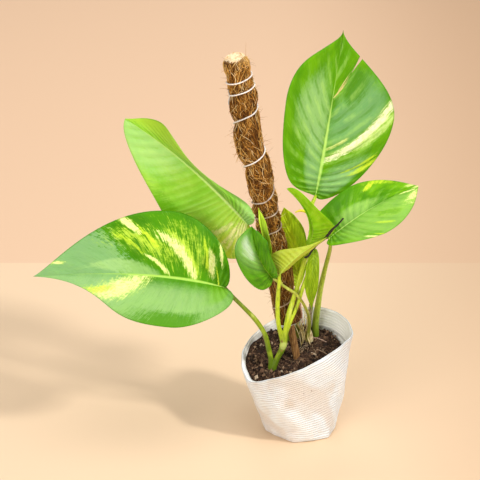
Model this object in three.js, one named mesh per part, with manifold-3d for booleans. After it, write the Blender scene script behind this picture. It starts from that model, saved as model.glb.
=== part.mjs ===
// A young golden pothos in a woven white grow bag, climbing a leaning pole wrapped in coconut fibre.
// Millimetres, +Z up. The origin is the middle of the bag's flat bottom, and -Y is the front.
import * as THREE from 'three';
import { mergeVertices } from 'three/addons/utils/BufferGeometryUtils.js';
import Module from 'manifold-3d';

const wasm = await Module();
wasm.setup();

const DEGREE = Math.PI / 180;
const CLEARANCE = 0.35;

// Grow bag: a soft cone that leans a little to the left, with its mouth folded inwards.
const BAG = {
  baseRadius: 42.5,
  baseCorners: 6,
  baseCornerAzimuth: -104 * DEGREE,
  bottomEdge: 3,
  mouthRadius: 63.5,
  mouthX: -6.2,
  belly: 0.5,
  bellyLeft: 1.5,
  crease: 0.9,
  wall: 1,
  cuffWall: 2.4,
  cuffDepth: 22,
  sides: 40,
};
// Height of the mouth every 30 degrees round the bag, from the left (-X) by way of the front.
const MOUTH_HEIGHTS = [87, 75, 88, 103, 117, 124, 121, 125, 126, 120, 107, 96];

// Potting mix: a sloping, lumpy surface, lower at the front left.
const SOIL = { height: 87.5, slopeX: 0.06, slopeY: 0.3, lump: 1.8, edgeDrop: 3, rings: 5, sides: 36 };

// Pole: a stick in a fibre sleeve. Its own frame has +Z along the pole and its origin at the soil.
const POLE = {
  foot: new THREE.Vector3(-5.9, 2.9, 87),
  top: new THREE.Vector3(-76.7, -22, 455),
  stickRadius: 4.3,
  stickSides: 14,
  buried: 58,
};
const COIR = {
  low: 50,
  footRadius: 14,
  topRadius: 15.6,
  dome: 13,
  sides: 20,
  rows: 54,
  groove: 2.8,
  grooveWidth: 8,
  bow: 3,
  bowAt: 278,
  bowLength: 28,
};
// Where the string crosses the pole's front, measured along the pole from the soil.
const STRING_CROSSINGS = [77, 124, 167, 187, 206, 255.5, 309, 337.5, 350];
const STRING = { radius: 0.8, sides: 5, stepsPerTurn: 20, lead: 0.35, sag: 0.07 };

const COLOURS = {
  bag: 0xe9e2d8,
  soil: 0x3a2a20,
  wood: 0x6b4a2b,
  coir: 0x7d4f28,
  string: 0xe8dfcc,
  stem: 0xa3b83a,
  petiole: 0x8ea32c,
  leaf: 0x5f9e1c,
  paleLeaf: 0xa4c93a,
  mottledLeaf: 0x8a9b2a,
  darkSheath: 0x1d1a14,
  drySheath: 0xd9cda0,
};

// Leaf blades. middle: the midrib's quadratic curve from the petiole to the tip. roll: turn about the
// midrib. Each half has a width w, widest at xw from the base, a lobe behind the base (reach lobe, opening
// lw, squareness back) and an end towards the tip (shoulder, taper, tipw). fold lifts a half from flat and
// curl bends it on towards its edge, from the base to the tip.
const LEAVES = {
  leaf_left: {
    middle: [[-87, -30, 189], [-169, -39, 217], [-296, -60, 216]],
    roll: [-40, -32],
    right: { w: 73, xw: 68, lobe: 12, lw: 0.15, back: 0.3, shoulder: 0.47, taper: 0.15, tipw: 0.12, fold: [18, 12], curl: [10, 5] },
    left: { w: 60, xw: 64, lobe: 32, lw: 0.12, back: 0.24, shoulder: 0.58, taper: 0.6, tipw: 0.2, fold: [18, 12], curl: [10, 5] },
    rows: 20,
    columns: 4,
    colour: COLOURS.leaf,
  },
  leaf_upper_left: {
    middle: [[-62, 14, 246], [-124, 22, 318], [-197, 30, 366]],
    roll: [-5, -5],
    right: { w: 28, xw: 116, lobe: 9, lw: 0.3, back: 0, shoulder: 0.52, taper: 0.14, tipw: 0.19, fold: [-10, -168, 20], curl: [37, 5] },
    left: { w: 62, xw: 71, lobe: 50, lw: 0.43, back: -0.3, shoulder: 0.05, taper: 0.03, tipw: 0.49, fold: [-1, -1], curl: [8, 8] },
    rows: 18,
    columns: 4,
    colour: COLOURS.paleLeaf,
  },
  leaf_top_right: {
    middle: [[13, 18, 279], [23, 21, 337], [41, 28, 468]],
    roll: [-20, -12],
    right: {
      w: 72, xw: 97, lobe: 17, lw: 0.14, back: 0.4, shoulder: 0.43, taper: 0.2, tipw: 0.02, fold: [18, 12], curl: [10, 10],
      tear: { at: 0.81, half: 0.016, depth: 0.88 },
    },
    left: { w: 57, xw: 110, lobe: -13, lw: 0.49, back: 0.02, shoulder: 0.74, taper: 0.25, tipw: 0, fold: [18, 12], curl: [10, 10] },
    rows: 20,
    columns: 4,
    colour: COLOURS.leaf,
  },
  leaf_right: {
    middle: [[28, -10, 240], [75, -3, 280], [127, 16, 292]],
    roll: [36, 36],
    right: { w: 36, xw: 56, lobe: 25, lw: 0.15, back: 0.7, shoulder: 0.71, taper: 0.09, tipw: 0.16, fold: [22, 18], curl: [15, 10] },
    left: { w: 33, xw: 45, lobe: 37, lw: 0.39, back: -0.2, shoulder: 0.43, taper: 0.15, tipw: 0.14, fold: [22, 18], curl: [15, 10] },
    rows: 16,
    columns: 4,
    colour: COLOURS.leaf,
  },
  leaf_front_glossy: {
    middle: [[-34, -30, 200], [-54, -46, 228], [-58, -38, 266]],
    roll: [-11, -11],
    right: { w: 18, xw: 52, lobe: 2, lw: 0.3, back: 0.1, shoulder: 0.55, taper: 0.17, tipw: 0.13, fold: [52, 50], curl: [10, 10] },
    left: { w: 25, xw: 46, lobe: 4, lw: 0.35, back: -0.3, shoulder: 0.69, taper: 0.07, tipw: 0.17, fold: [20, 20], curl: [25, 25] },
    rows: 12,
    columns: 3,
    colour: COLOURS.leaf,
  },
  leaf_folded_pale: {
    middle: [[-27, -36, 208], [-11, -50, 238], [24, -36, 252]],
    roll: [11, 11],
    right: { w: 8, xw: 12, lobe: 0, lw: 0.3, back: 0.1, shoulder: 0.7, taper: 0.1, tipw: 0.55, fold: [-62, -50], curl: [-10, -10] },
    left: { w: 21, xw: 10, lobe: 0, lw: 0.25, back: 0.4, shoulder: 0.27, taper: 0.6, tipw: 0, fold: [-15, -15], curl: [-10, -10] },
    rows: 12,
    columns: 3,
    colour: COLOURS.paleLeaf,
  },
  leaf_small_folded: {
    middle: [[5, -22, 237], [19, -28, 270], [-20, -28, 306]],
    roll: [0, 0],
    right: { w: 27, xw: 26, lobe: 9, lw: 0.15, back: 0.88, shoulder: 0.03, taper: 0.03, tipw: 0.7, fold: [-50, 100, 25], curl: [0, 0] },
    left: { w: 9, xw: 12, lobe: 0, lw: 0.3, back: 0.1, shoulder: 0.1, taper: 0.6, tipw: 0.15, fold: [50, 80], curl: [0, 0] },
    rows: 14,
    columns: 3,
    colour: COLOURS.paleLeaf,
  },
  leaf_mottled: {
    middle: [[-5, 16, 169], [-7, 25, 212], [-22, 14, 267]],
    roll: [0, 0],
    right: { w: 16, xw: 61, lobe: 1, lw: 0.25, back: 0.5, shoulder: 0.54, taper: 0.08, tipw: 0.16, fold: [10, 10], curl: [10, 10] },
    left: { w: 14, xw: 60, lobe: 1, lw: 0.3, back: 0.1, shoulder: 0.6, taper: 0.08, tipw: 0.17, fold: [10, 10], curl: [10, 10] },
    rows: 12,
    columns: 3,
    colour: COLOURS.mottledLeaf,
  },
  leaf_hanging: {
    middle: [[11, -22, 233], [7, -37, 201], [9, -24, 158]],
    roll: [0, 0],
    right: { w: 8, xw: 37, lobe: 0, lw: 0.3, back: 0.15, shoulder: 0.47, taper: 0.3, tipw: 0.1, fold: [20, 20], curl: [10, 10] },
    left: { w: 8, xw: 33, lobe: 0, lw: 0.3, back: 0, shoulder: 0.45, taper: 0.3, tipw: 0.1, fold: [20, 20], curl: [10, 10] },
    rows: 10,
    columns: 2,
    colour: COLOURS.mottledLeaf,
  },
  leaf_rolled_young: {
    middle: [[-37, -25, 217], [-41, -33, 247.5], [-51, -31, 285]],
    roll: [0, 0],
    right: { w: 8, xw: 50, lobe: 0, lw: 0.3, back: 0.3, shoulder: 0.45, taper: 0.3, tipw: 0.1, fold: [40, 40], curl: [-30, -30] },
    left: { w: 5, xw: 50, lobe: 0, lw: 0.3, back: 0.3, shoulder: 0.45, taper: 0.3, tipw: 0.1, fold: [40, 40], curl: [-30, -30] },
    rows: 10,
    columns: 2,
    colour: COLOURS.paleLeaf,
  },
};
const BLADE = 0.8;
const VEIN_SWEEP = 1.9;
const VEIN_STEEPEN = 0.7;
const VEIN_LEAN = 0.35;
const VEIN_ARCH = 0.62;

// Stems and petioles: points along each, as x, y, z and radius. Those that start below the soil stand in it.
const SOIL_DEPTH = 22;
const CUT_SHIFT = 0.3;
const STEMS = {
  vine_front: {
    colour: COLOURS.stem,
    carries: ['leaf_left', 'leaf_folded_pale', 'leaf_top_right', 'leaf_small_folded', 'leaf_hanging'],
    routes: [
      [[-33, -14, 80, 3.4], [-28, -15, 96, 3.3], [-23, -18, 110, 3.3], [-21, -19, 120, 4.2], [-20, -20, 130, 3], [-17, -21, 149, 2.9],
        [-12, -20, 168, 2.8], [-6, -17, 188, 2.6], [-1, -15, 209, 2.5], [4, -15, 224, 2.6], [8, -16, 235, 3.2]],
      [[-21, -19, 121, 2.2], [-15, -19, 141, 2.3], [-7, -17, 161, 2.3], [-1, -14, 181, 2.3], [5, -12, 200, 2.2], [9, -13, 218, 2.2],
        [9, -15, 233, 2.2]],
      [[-36, -13, 80, 3.1], [-36, -14, 95, 3], [-38, -15, 105, 2.9], [-43, -19, 127, 2.8], [-53, -23, 146, 2.7],
        [-67, -27, 164, 2.5], [-79, -29, 178, 2.2], [-87, -30, 189, 1.6]],
      [[-23, -18, 118, 2.8], [-25, -19, 127, 2.6], [-28, -25, 144, 2.6], [-29, -29, 166, 2.5], [-28.5, -32, 184, 2.3],
        [-27.5, -35, 199, 2], [-27, -36, 208, 1.4]],
      [[8, -16, 233, 2.4], [10, -12, 249, 2.2], [9, -5, 263, 2.2], [9, 4, 274, 2.2], [12, 13, 278, 2], [13, 18, 279, 1.6]],
      [[8, -16, 232, 2.4], [6.5, -19, 235, 1.8], [5, -22, 237, 1.3]],
      [[8, -16, 232, 2.4], [10, -19.5, 232.8, 1.8], [11, -22, 233, 1.2]],
      [[9, -6, 262, 1.9], [6, -8, 268, 1.9], [0, -10, 272.5, 1.8], [-5, -10, 273, 1.5], [-10, -10, 271, 0.8]],
    ],
  },
  petiole_right: {
    colour: COLOURS.petiole,
    carries: ['leaf_right'],
    routes: [
      [[16, 38, 98, 4.4], [16, 36, 116, 4.1], [18, 30, 139, 3.6], [21, 23, 167, 3.1], [25, 13, 194, 2.7], [28, 4, 213, 2.4],
        [29.5, -5, 229, 2.1], [28, -10, 240, 1.6]],
    ],
  },
  petiole_glossy: {
    colour: COLOURS.petiole,
    carries: ['leaf_front_glossy', 'leaf_rolled_young'],
    routes: [
      [[6, 28, 92, 2], [8, 22, 115, 2], [7, 7, 136, 1.9], [3, -13, 156, 1.8], [-2, -23, 169.5, 1.7], [-9, -26.5, 180, 1.7],
        [-18, -26.5, 186.5, 1.7], [-26, -26, 192, 1.7], [-31, -28, 197, 1.6], [-34, -30, 200, 1.3]],
      [[-24, -26, 190, 1.6], [-29, -25.5, 201, 1.6], [-34, -25, 211, 1.4], [-37, -25, 216.8, 1]],
    ],
  },
  stem_mottled: {
    colour: COLOURS.petiole,
    carries: ['leaf_mottled'],
    routes: [[[-4, 36, 96, 2.8], [-5, 32, 120, 2.6], [-5, 24, 143, 2.4], [-5, 18, 158, 2], [-5, 16, 169, 1.5]]],
  },
  petiole_upper_left: {
    colour: COLOURS.petiole,
    carries: ['leaf_upper_left'],
    routes: [
      [[-14, 30, 93, 2.8], [-16, 29, 124, 2.7], [-22, 26, 148, 2.6], [-31, 22, 174, 2.5], [-43, 18, 201, 2.3], [-54, 15, 225, 2],
        [-62, 14, 246, 1.4]],
    ],
  },
};

// Dry sheaths: flat strips, as x, y, z, half width and half thickness.
const SHEATHS = {
  sheath_black: {
    colour: COLOURS.darkSheath,
    route: [
      [2.4, -18.8, 222, 0.8], [1, -25, 223, 1], [4, -31, 227, 1.3], [8, -30.5, 233.3, 1.3], [13.5, -27.5, 239.3, 1.2],
      [18, -27.5, 243, 1.2], [22.3, -30.5, 248.3, 1.5], [25.3, -36.5, 255.1, 1.7], [28, -43.5, 262.2, 1.6],
      [31.2, -47, 267.8, 1.2], [35.5, -47.5, 272.2, 1.1], [41, -46.5, 278.8, 0.9],
    ],
    flatness: 0.6,
  },
  sheath_dry_tall: {
    colour: COLOURS.drySheath,
    route: [[15, 28, 170, 1], [12, 30.5, 157, 1.8], [10.5, 33, 141, 2.2], [8.6, 35, 120, 2.4], [8.6, 36, 100, 2]],
    flatness: 0.3,
  },
};

/** Reads a value between two numbers. */
function mix(a, b, t) {
  return a + (b - a) * t;
}

/** Reads a value along two or three values, the middle one of three being a control value. */
function blend(values, t) {
  if (values.length === 2) {
    return mix(values[0], values[1], t);
  }
  return mix(mix(values[0], values[1], t), mix(values[1], values[2], t), t);
}

/** A closed body from corner points and triangles, with alike corners shared. */
function body(points, triangles) {
  const geometry = new THREE.BufferGeometry();
  geometry.setAttribute('position', new THREE.Float32BufferAttribute(points.flatMap((p) => [p.x, p.y, p.z]), 3));
  geometry.setIndex(triangles.flat());
  return mergeVertices(geometry, 1e-4);
}

/** A solid for cutting and joining. */
function solid(geometry) {
  const shared = geometry.clone();
  shared.deleteAttribute('normal');
  shared.deleteAttribute('uv');
  const merged = mergeVertices(shared, 1e-4);
  return new wasm.Manifold(new wasm.Mesh({
    numProp: 3,
    vertProperties: Float32Array.from(merged.attributes.position.array),
    triVerts: Uint32Array.from(merged.index.array),
  }));
}

/** The geometry of a solid. */
function geometryOf(shape) {
  const { vertProperties, triVerts } = shape.getMesh();
  const geometry = new THREE.BufferGeometry();
  geometry.setAttribute('position', new THREE.BufferAttribute(Float32Array.from(vertProperties), 3));
  geometry.setIndex(Array.from(triVerts));
  return geometry;
}

/** A named piece with its own finish. */
function piece(name, geometry, colour, roughness = 0.7) {
  const material = new THREE.MeshStandardMaterial({ color: colour, roughness, metalness: 0 });
  geometry.computeVertexNormals();
  const mesh = new THREE.Mesh(geometry, material);
  mesh.name = name;
  return mesh;
}

/** A closed skin over rings that all have the same number of points, with a point at each end. */
function stack(first, rings, last) {
  const n = rings[0].length;
  const points = [first, ...rings.flat(), last];
  const triangles = [];
  const at = (ring, i) => 1 + ring * n + (i % n);
  for (let i = 0; i < n; i += 1) {
    triangles.push([0, at(0, i + 1), at(0, i)]);
    triangles.push([points.length - 1, at(rings.length - 1, i), at(rings.length - 1, i + 1)]);
    for (let ring = 0; ring + 1 < rings.length; ring += 1) {
      triangles.push([at(ring, i), at(ring, i + 1), at(ring + 1, i + 1)]);
      triangles.push([at(ring, i), at(ring + 1, i + 1), at(ring + 1, i)]);
    }
  }
  return body(points, triangles);
}

/** A tube along points, each with its radius. flatness narrows it across its frame's second axis. */
function tube(points, radii, sides, flatness = 1) {
  const rings = [];
  let side = new THREE.Vector3(1, 0, 0);
  for (let i = 0; i < points.length; i += 1) {
    const before = points[Math.max(i - 1, 0)];
    const after = points[Math.min(i + 1, points.length - 1)];
    const along = after.clone().sub(before).normalize();
    side = side.clone().addScaledVector(along, -side.dot(along)).normalize();
    const other = along.clone().cross(side);
    const ring = [];
    for (let j = 0; j < sides; j += 1) {
      const angle = (j / sides) * 2 * Math.PI;
      const point = points[i].clone();
      point.addScaledVector(side, radii[i] * Math.cos(angle));
      point.addScaledVector(other, radii[i] * flatness * Math.sin(angle));
      ring.push(point);
    }
    rings.push(ring);
  }
  return stack(points[0], rings, points[points.length - 1]);
}

/** A smooth tube through a route of x, y, z, radius. extra widens it and below lengthens its start. */
function stem(route, { sides = 8, spacing = 9, flatness = 1, extra = 0, below = 0 } = {}) {
  const corners = route.map(([x, y, z]) => new THREE.Vector3(x, y, z));
  const widths = route.map((row) => row[3] + extra);
  if (below > 0) {
    corners.unshift(corners[0].clone().sub(new THREE.Vector3(0, 0, below)));
    widths.unshift(widths[0]);
  }
  const curve = new THREE.CatmullRomCurve3(corners, false, 'centripetal');
  const steps = Math.max(3, Math.round(curve.getLength() / spacing));
  const points = [];
  const radii = [];
  for (let i = 0; i <= steps; i += 1) {
    const t = (i / steps) * (corners.length - 1);
    const k = Math.min(Math.floor(t), corners.length - 2);
    points.push(curve.getPoint(i / steps));
    radii.push(mix(widths[k], widths[k + 1], t - k));
  }
  return tube(points, radii, sides, flatness);
}

/** Height of the bag's mouth at an azimuth, smoothly between the measured heights. */
function mouthHeight(azimuth) {
  const n = MOUTH_HEIGHTS.length;
  const t = ((azimuth + Math.PI) / (2 * Math.PI)) * n;
  const k = Math.floor(t);
  const [a, b, c, d] = [-1, 0, 1, 2].map((o) => MOUTH_HEIGHTS[(((k + o) % n) + n) % n]);
  const f = t - k;
  return b + 0.5 * f * (c - a + f * (2 * a - 5 * b + 4 * c - d + f * (3 * (b - c) + d - a)));
}

/** A point of the bag's wall: azimuth, share of the mouth's height, and depth inwards from the outside. */
function wallPoint(azimuth, share, inwards, z = share * mouthHeight(azimuth)) {
  const sector = (2 * Math.PI) / BAG.baseCorners;
  const turn = azimuth - BAG.baseCornerAzimuth + 8 * Math.PI;
  const fromEdge = (turn % sector) - sector / 2;
  const corner = mix(1, Math.cos(sector / 2) / Math.cos(fromEdge), 0.75 * (1 - share) ** 2);
  const belly = (BAG.belly - BAG.bellyLeft * Math.cos(azimuth)) * Math.sin(Math.PI * share);
  const crease = BAG.crease * Math.sin(3 * azimuth + 4 * share) * Math.sin(Math.PI * share) ** 2;
  const radius = mix(BAG.baseRadius, BAG.mouthRadius, share) * corner + belly + crease - inwards;
  return new THREE.Vector3(BAG.mouthX * share + radius * Math.cos(azimuth), radius * Math.sin(azimuth), z);
}

/** One ring of the bag or of what lies against it. */
function wallRing(sides, share, inwards, height) {
  return Array.from({ length: sides }, (_, i) => {
    const azimuth = (i / sides) * 2 * Math.PI - Math.PI;
    return wallPoint(azimuth, share(azimuth), inwards(azimuth), height(azimuth));
  });
}

/** The woven bag: outside from the bottom to the mouth, over the fold, down the cuff and the inside. */
function growBag() {
  const steady = (value) => () => value;
  const ring = (share, inwards, lift = 0) =>
    wallRing(BAG.sides, steady(share), steady(inwards), (a) => share * mouthHeight(a) + lift);
  const flat = (radiusLoss, z) => wallRing(BAG.sides, steady(0), steady(radiusLoss), steady(z));
  const cuffShare = (a) => 1 - BAG.cuffDepth / mouthHeight(a);
  const cuffRing = (inwards, drop) =>
    wallRing(BAG.sides, cuffShare, steady(inwards), (a) => mouthHeight(a) - BAG.cuffDepth - drop);
  const rings = [flat(BAG.bottomEdge, 0), flat(0.6, BAG.bottomEdge * 0.6)];
  for (const share of [0.12, 0.32, 0.55, 0.78]) {
    rings.push(ring(share, 0));
  }
  rings.push(ring(1, 0.2, -1.6), ring(1, BAG.cuffWall / 2, 0), ring(1, BAG.cuffWall - 0.2, -1.6));
  rings.push(cuffRing(BAG.cuffWall, 0), cuffRing(BAG.wall, 0.8));
  for (const share of [0.55, 0.32, 0.12]) {
    rings.push(ring(share, BAG.wall));
  }
  rings.push(flat(BAG.wall + 1.2, BAG.bottomEdge), flat(BAG.wall + BAG.bottomEdge, BAG.wall));
  return stack(new THREE.Vector3(-12, -9, 0), rings, new THREE.Vector3(-12, -9, BAG.wall));
}

/** Height of the potting mix, with its lumps. */
function soilHeight(x, y) {
  const lumps = Math.sin(x / 5.1 + 1) * Math.cos(y / 6.3) + 0.6 * Math.sin(x / 2.9 - y / 3.7 + 2);
  return SOIL.height + SOIL.slopeX * x + SOIL.slopeY * y + SOIL.lump * lumps;
}

/** The potting mix as it fills the bag, before the holes for what stands in it. */
function soilBody() {
  const atWall = (azimuth, inwards) => {
    const guess = wallPoint(azimuth, 0.75, inwards);
    return Math.min(soilHeight(guess.x, guess.y) - SOIL.edgeDrop, mouthHeight(azimuth) - 4);
  };
  const under = (a) => Math.min(mouthHeight(a) - BAG.cuffDepth - 4, atWall(a, 3) - 4);
  const loose = BAG.wall + CLEARANCE;
  const tight = BAG.cuffWall + CLEARANCE;
  const side = (inwards, height) =>
    wallRing(SOIL.sides, (a) => height(a) / mouthHeight(a), () => inwards, height);
  const rings = [wallRing(SOIL.sides, () => 0, () => BAG.bottomEdge + loose + 1, () => loose)];
  rings.push(side(loose + 2, () => 12));
  rings.push(side(loose + 1, (a) => 0.5 * under(a)), side(loose + 0.5, under));
  rings.push(side(tight + 0.3, (a) => Math.min(under(a) + 2.5, atWall(a, 3) - 1)));
  const edge = side(tight + 0.6, (a) => atWall(a, 3));
  rings.push(edge);
  const middle = new THREE.Vector3(BAG.mouthX, 0, 0);
  for (let k = 1; k < SOIL.rings; k += 1) {
    rings.push(edge.map((p) => {
      const q = p.clone().lerp(middle, k / SOIL.rings);
      return q.setZ(mix(p.z, soilHeight(q.x, q.y), Math.min(1, k / 1.5)));
    }));
  }
  middle.setZ(soilHeight(middle.x, middle.y));
  return stack(new THREE.Vector3(0, 0, loose), rings, middle);
}

/** Distance along the pole of the string after an angle, counted from its lowest front crossing. */
function stringHeight(angle) {
  const n = STRING_CROSSINGS.length;
  const t = THREE.MathUtils.clamp(angle / (2 * Math.PI), -STRING.lead, n - 1 + STRING.lead);
  const k = THREE.MathUtils.clamp(Math.floor(t), 0, n - 2);
  const f = t - k;
  return mix(STRING_CROSSINGS[k], STRING_CROSSINGS[k + 1], f - STRING.sag * Math.sin(2 * Math.PI * f));
}

/** Radius of the fibre sleeve, drawn in where the string goes round it. */
function coirRadius(azimuth, along) {
  const share = (along - COIR.low) / (poleLength - COIR.low);
  const round = mix(COIR.footRadius, COIR.topRadius, share);
  const lumps = 0.5 * Math.sin(3 * azimuth + along / 17) + 0.4 * Math.sin(2 * azimuth - along / 11);
  let squeeze = 0;
  for (let k = 0; k < STRING_CROSSINGS.length; k += 1) {
    const turn = (((azimuth + Math.PI / 2) % (2 * Math.PI)) + 2 * Math.PI) % (2 * Math.PI);
    const distance = (along - stringHeight(turn + 2 * Math.PI * k)) / COIR.grooveWidth;
    squeeze = Math.max(squeeze, Math.exp(-distance * distance));
  }
  const fromBow = (along - COIR.bowAt) / COIR.bowLength;
  const bow = -COIR.bow * Math.cos(azimuth) * Math.exp(-fromBow * fromBow);
  return round + lumps + bow - COIR.groove * squeeze;
}

const poleLength = POLE.foot.distanceTo(POLE.top);

/** A point round the pole, in the pole's own frame. */
function aroundPole(azimuth, radius, along) {
  return new THREE.Vector3(radius * Math.cos(azimuth), radius * Math.sin(azimuth), along);
}

/** The fibre sleeve: its outside up to the dome, with a bore for the stick. */
function coirWrap() {
  const ring = (radiusAt, along) => Array.from({ length: COIR.sides }, (_, i) => {
    const azimuth = (i / COIR.sides) * 2 * Math.PI;
    return aroundPole(azimuth, radiusAt(azimuth), along);
  });
  const rings = [];
  const bore = POLE.stickRadius + CLEARANCE;
  const boreTop = poleLength - COIR.dome;
  rings.push(ring(() => bore, boreTop), ring(() => bore, COIR.low));
  rings.push(ring((a) => coirRadius(a, COIR.low) - 2.5, COIR.low));
  const reach = poleLength - COIR.dome - COIR.low - 2;
  for (let k = 0; k <= COIR.rows; k += 1) {
    const along = COIR.low + 2 + (reach * k) / COIR.rows;
    rings.push(ring((a) => coirRadius(a, along), along));
  }
  for (const angle of [30, 55, 75]) {
    const along = poleLength - COIR.dome + COIR.dome * Math.sin(angle * DEGREE);
    rings.push(ring((a) => coirRadius(a, along) * Math.cos(angle * DEGREE), along));
  }
  return stack(new THREE.Vector3(0, 0, boreTop), rings, new THREE.Vector3(0, 0, poleLength));
}

/** The string, wound up the sleeve in one length. */
function poleString() {
  const turns = STRING_CROSSINGS.length - 1 + 2 * STRING.lead;
  const steps = Math.round(turns * STRING.stepsPerTurn);
  const points = [];
  for (let i = 0; i <= steps; i += 1) {
    const angle = (-STRING.lead + (turns * i) / steps) * 2 * Math.PI;
    const along = stringHeight(angle);
    const azimuth = angle - Math.PI / 2;
    const under = Math.max(...[-4, 0, 4].map((step) => coirRadius(azimuth, along + step)));
    points.push(aroundPole(azimuth, under + CLEARANCE + STRING.radius, along));
  }
  return tube(points, points.map(() => STRING.radius), STRING.sides);
}

/** The edge of one half of a leaf laid flat: round the lobe to the widest point, and on to the tip. */
function halfEdge(length, half, t) {
  const { w, xw, lobe, lw, back, shoulder, taper, tipw } = half;
  const point = (x, y) => new THREE.Vector2(x, y);
  const rest = length - xw;
  const lobeCurve = new THREE.CubicBezierCurve(point(0, 0), point(-lobe, lw * w), point(back * xw, w), point(xw, w));
  const tipCurve = new THREE.CubicBezierCurve(
    point(xw, w),
    point(xw + rest * shoulder, w),
    point(length - rest * taper, tipw * w),
    point(length, 0),
  );
  return t < 0.5 ? lobeCurve.getPoint(2 * t) : tipCurve.getPoint(2 * t - 1);
}

/** The midrib's place and directions at a distance from the leaf's base. */
function midribFrame(curve, length, roll, x) {
  const u = THREE.MathUtils.clamp(x / length, 0, 1);
  const along = curve.getTangentAt(u);
  const place = curve.getPointAt(u).addScaledVector(along, x - u * length);
  const across = along.clone().cross(new THREE.Vector3(0, -1, 0)).normalize();
  across.applyAxisAngle(along, -mix(roll[0], roll[1], u) * DEGREE);
  return { place, across, up: across.clone().cross(along), u };
}

/** A flat leaf point, x along the midrib and y out from it, put on the folded and curled leaf. */
function onLeaf(leaf, curve, length, side, half, x, y) {
  const { place, across, up, u } = midribFrame(curve, length, leaf.roll, x);
  const fold = blend(half.fold, u) * DEGREE;
  const curl = blend(half.curl, u) * DEGREE || 1e-3;
  const end = fold - (curl * y) / half.w;
  const radius = half.w / curl;
  place.addScaledVector(across, side * radius * (Math.sin(fold) - Math.sin(end)));
  return place.addScaledVector(up, radius * (Math.cos(end) - Math.cos(fold)));
}

/** How far a tear draws the edge in, from 1 where there is none. */
function tornShare(half, t) {
  if (!half.tear) {
    return 1;
  }
  const { at, half: width, depth } = half.tear;
  return 1 - depth * Math.max(0, 1 - Math.abs(t - at) / width);
}

/** Row places from base to tip. A torn leaf gets rows at the tear. */
function rowPlaces(leaf) {
  const places = Array.from({ length: leaf.rows - 1 }, (_, i) => (i + 1) / leaf.rows);
  const tear = leaf.right.tear;
  if (!tear) {
    return places;
  }
  const kept = places.filter((t) => Math.abs(t - tear.at) > 2 * tear.half);
  return [...kept, tear.at - tear.half, tear.at, tear.at + tear.half].sort((a, b) => a - b);
}

/** A leaf blade of the given thickness. Its rows follow the side veins, from the midrib to the edge. */
function leafBlade(leaf, thickness) {
  const curve = new THREE.QuadraticBezierCurve3(...leaf.middle.map((p) => new THREE.Vector3(...p)));
  const length = curve.getLength();
  const rows = rowPlaces(leaf);
  const columns = leaf.columns;
  const width = 2 * columns + 1;
  const sheet = [curve.getPointAt(0)];
  for (const t of rows) {
    const root = length * t ** (VEIN_SWEEP + VEIN_STEEPEN * t);
    for (let j = -columns; j <= columns; j += 1) {
      const half = j < 0 ? leaf.left : leaf.right;
      const edge = halfEdge(length, half, t);
      const torn = tornShare(half, t);
      const v = Math.abs(j) / columns;
      const bend = 2 * v * (1 - v);
      const x = (1 - v) ** 2 * root + bend * mix(root, edge.x, VEIN_LEAN) + v * v * edge.x;
      const y = bend * VEIN_ARCH * edge.y + v * v * edge.y;
      sheet.push(onLeaf(leaf, curve, length, Math.sign(j), half, mix(root, x, torn), Math.max(0, y * torn)));
    }
  }
  sheet.push(curve.getPointAt(1));
  const last = sheet.length - 1;
  const at = (row, j) => 1 + row * width + j;
  const faces = [];
  for (let j = 0; j + 1 < width; j += 1) {
    faces.push([0, at(0, j + 1), at(0, j)]);
    faces.push([last, at(rows.length - 1, j), at(rows.length - 1, j + 1)]);
    for (let row = 0; row + 1 < rows.length; row += 1) {
      faces.push([at(row, j), at(row, j + 1), at(row + 1, j + 1)]);
      faces.push([at(row, j), at(row + 1, j + 1), at(row + 1, j)]);
    }
  }
  const rim = [0];
  for (let row = 0; row < rows.length; row += 1) {
    rim.push(at(row, width - 1));
  }
  rim.push(last);
  for (let row = rows.length - 1; row >= 0; row -= 1) {
    rim.push(at(row, 0));
  }
  return thicken(sheet, faces, rim, thickness);
}

/** A sheet made a plate: both faces split alike, joined by a strip round the rim. */
function thicken(sheet, faces, rim, thickness) {
  const flat = new THREE.BufferGeometry();
  flat.setAttribute('position', new THREE.Float32BufferAttribute(sheet.flatMap((p) => [p.x, p.y, p.z]), 3));
  flat.setIndex(faces.flat());
  flat.computeVertexNormals();
  const normal = sheet.map((_, i) => new THREE.Vector3().fromBufferAttribute(flat.attributes.normal, i));
  const front = sheet.map((p, i) => p.clone().addScaledVector(normal[i], thickness / 2));
  const back = sheet.map((p, i) => p.clone().addScaledVector(normal[i], -thickness / 2));
  const n = sheet.length;
  const triangles = faces.map((f) => [...f]);
  triangles.push(...faces.map(([a, b, c]) => [a + n, c + n, b + n]));
  for (let i = 0; i < rim.length; i += 1) {
    const a = rim[i];
    const b = rim[(i + 1) % rim.length];
    triangles.push([b, a, a + n], [b, a + n, b + n]);
  }
  return body([...front, ...back], triangles);
}

/** A leafy stem: its tubes joined in one body and cut back from the blades that it carries. */
function leafyStem(plan) {
  let joined = solid(stem(plan.routes[0], { below: plan.routes[0][0][2] < 101 ? SOIL_DEPTH : 0 }));
  for (const route of plan.routes.slice(1)) {
    const planted = route[0][2] < 101;
    joined = joined.add(solid(stem(route, { below: planted ? SOIL_DEPTH : 0 })));
  }
  for (const name of plan.carries) {
    const blade = solid(leafBlade(LEAVES[name], BLADE + CLEARANCE));
    for (let corner = 0; corner < 8; corner += 1) {
      const shift = [1, 2, 4].map((axis) => (corner & axis ? CUT_SHIFT : -CUT_SHIFT));
      joined = joined.subtract(blade.translate(shift));
    }
  }
  return joined.decompose().reduce((a, b) => (a.volume() > b.volume() ? a : b));
}

const group = new THREE.Group();
group.add(piece('grow_bag', growBag(), COLOURS.bag, 0.8));

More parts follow.
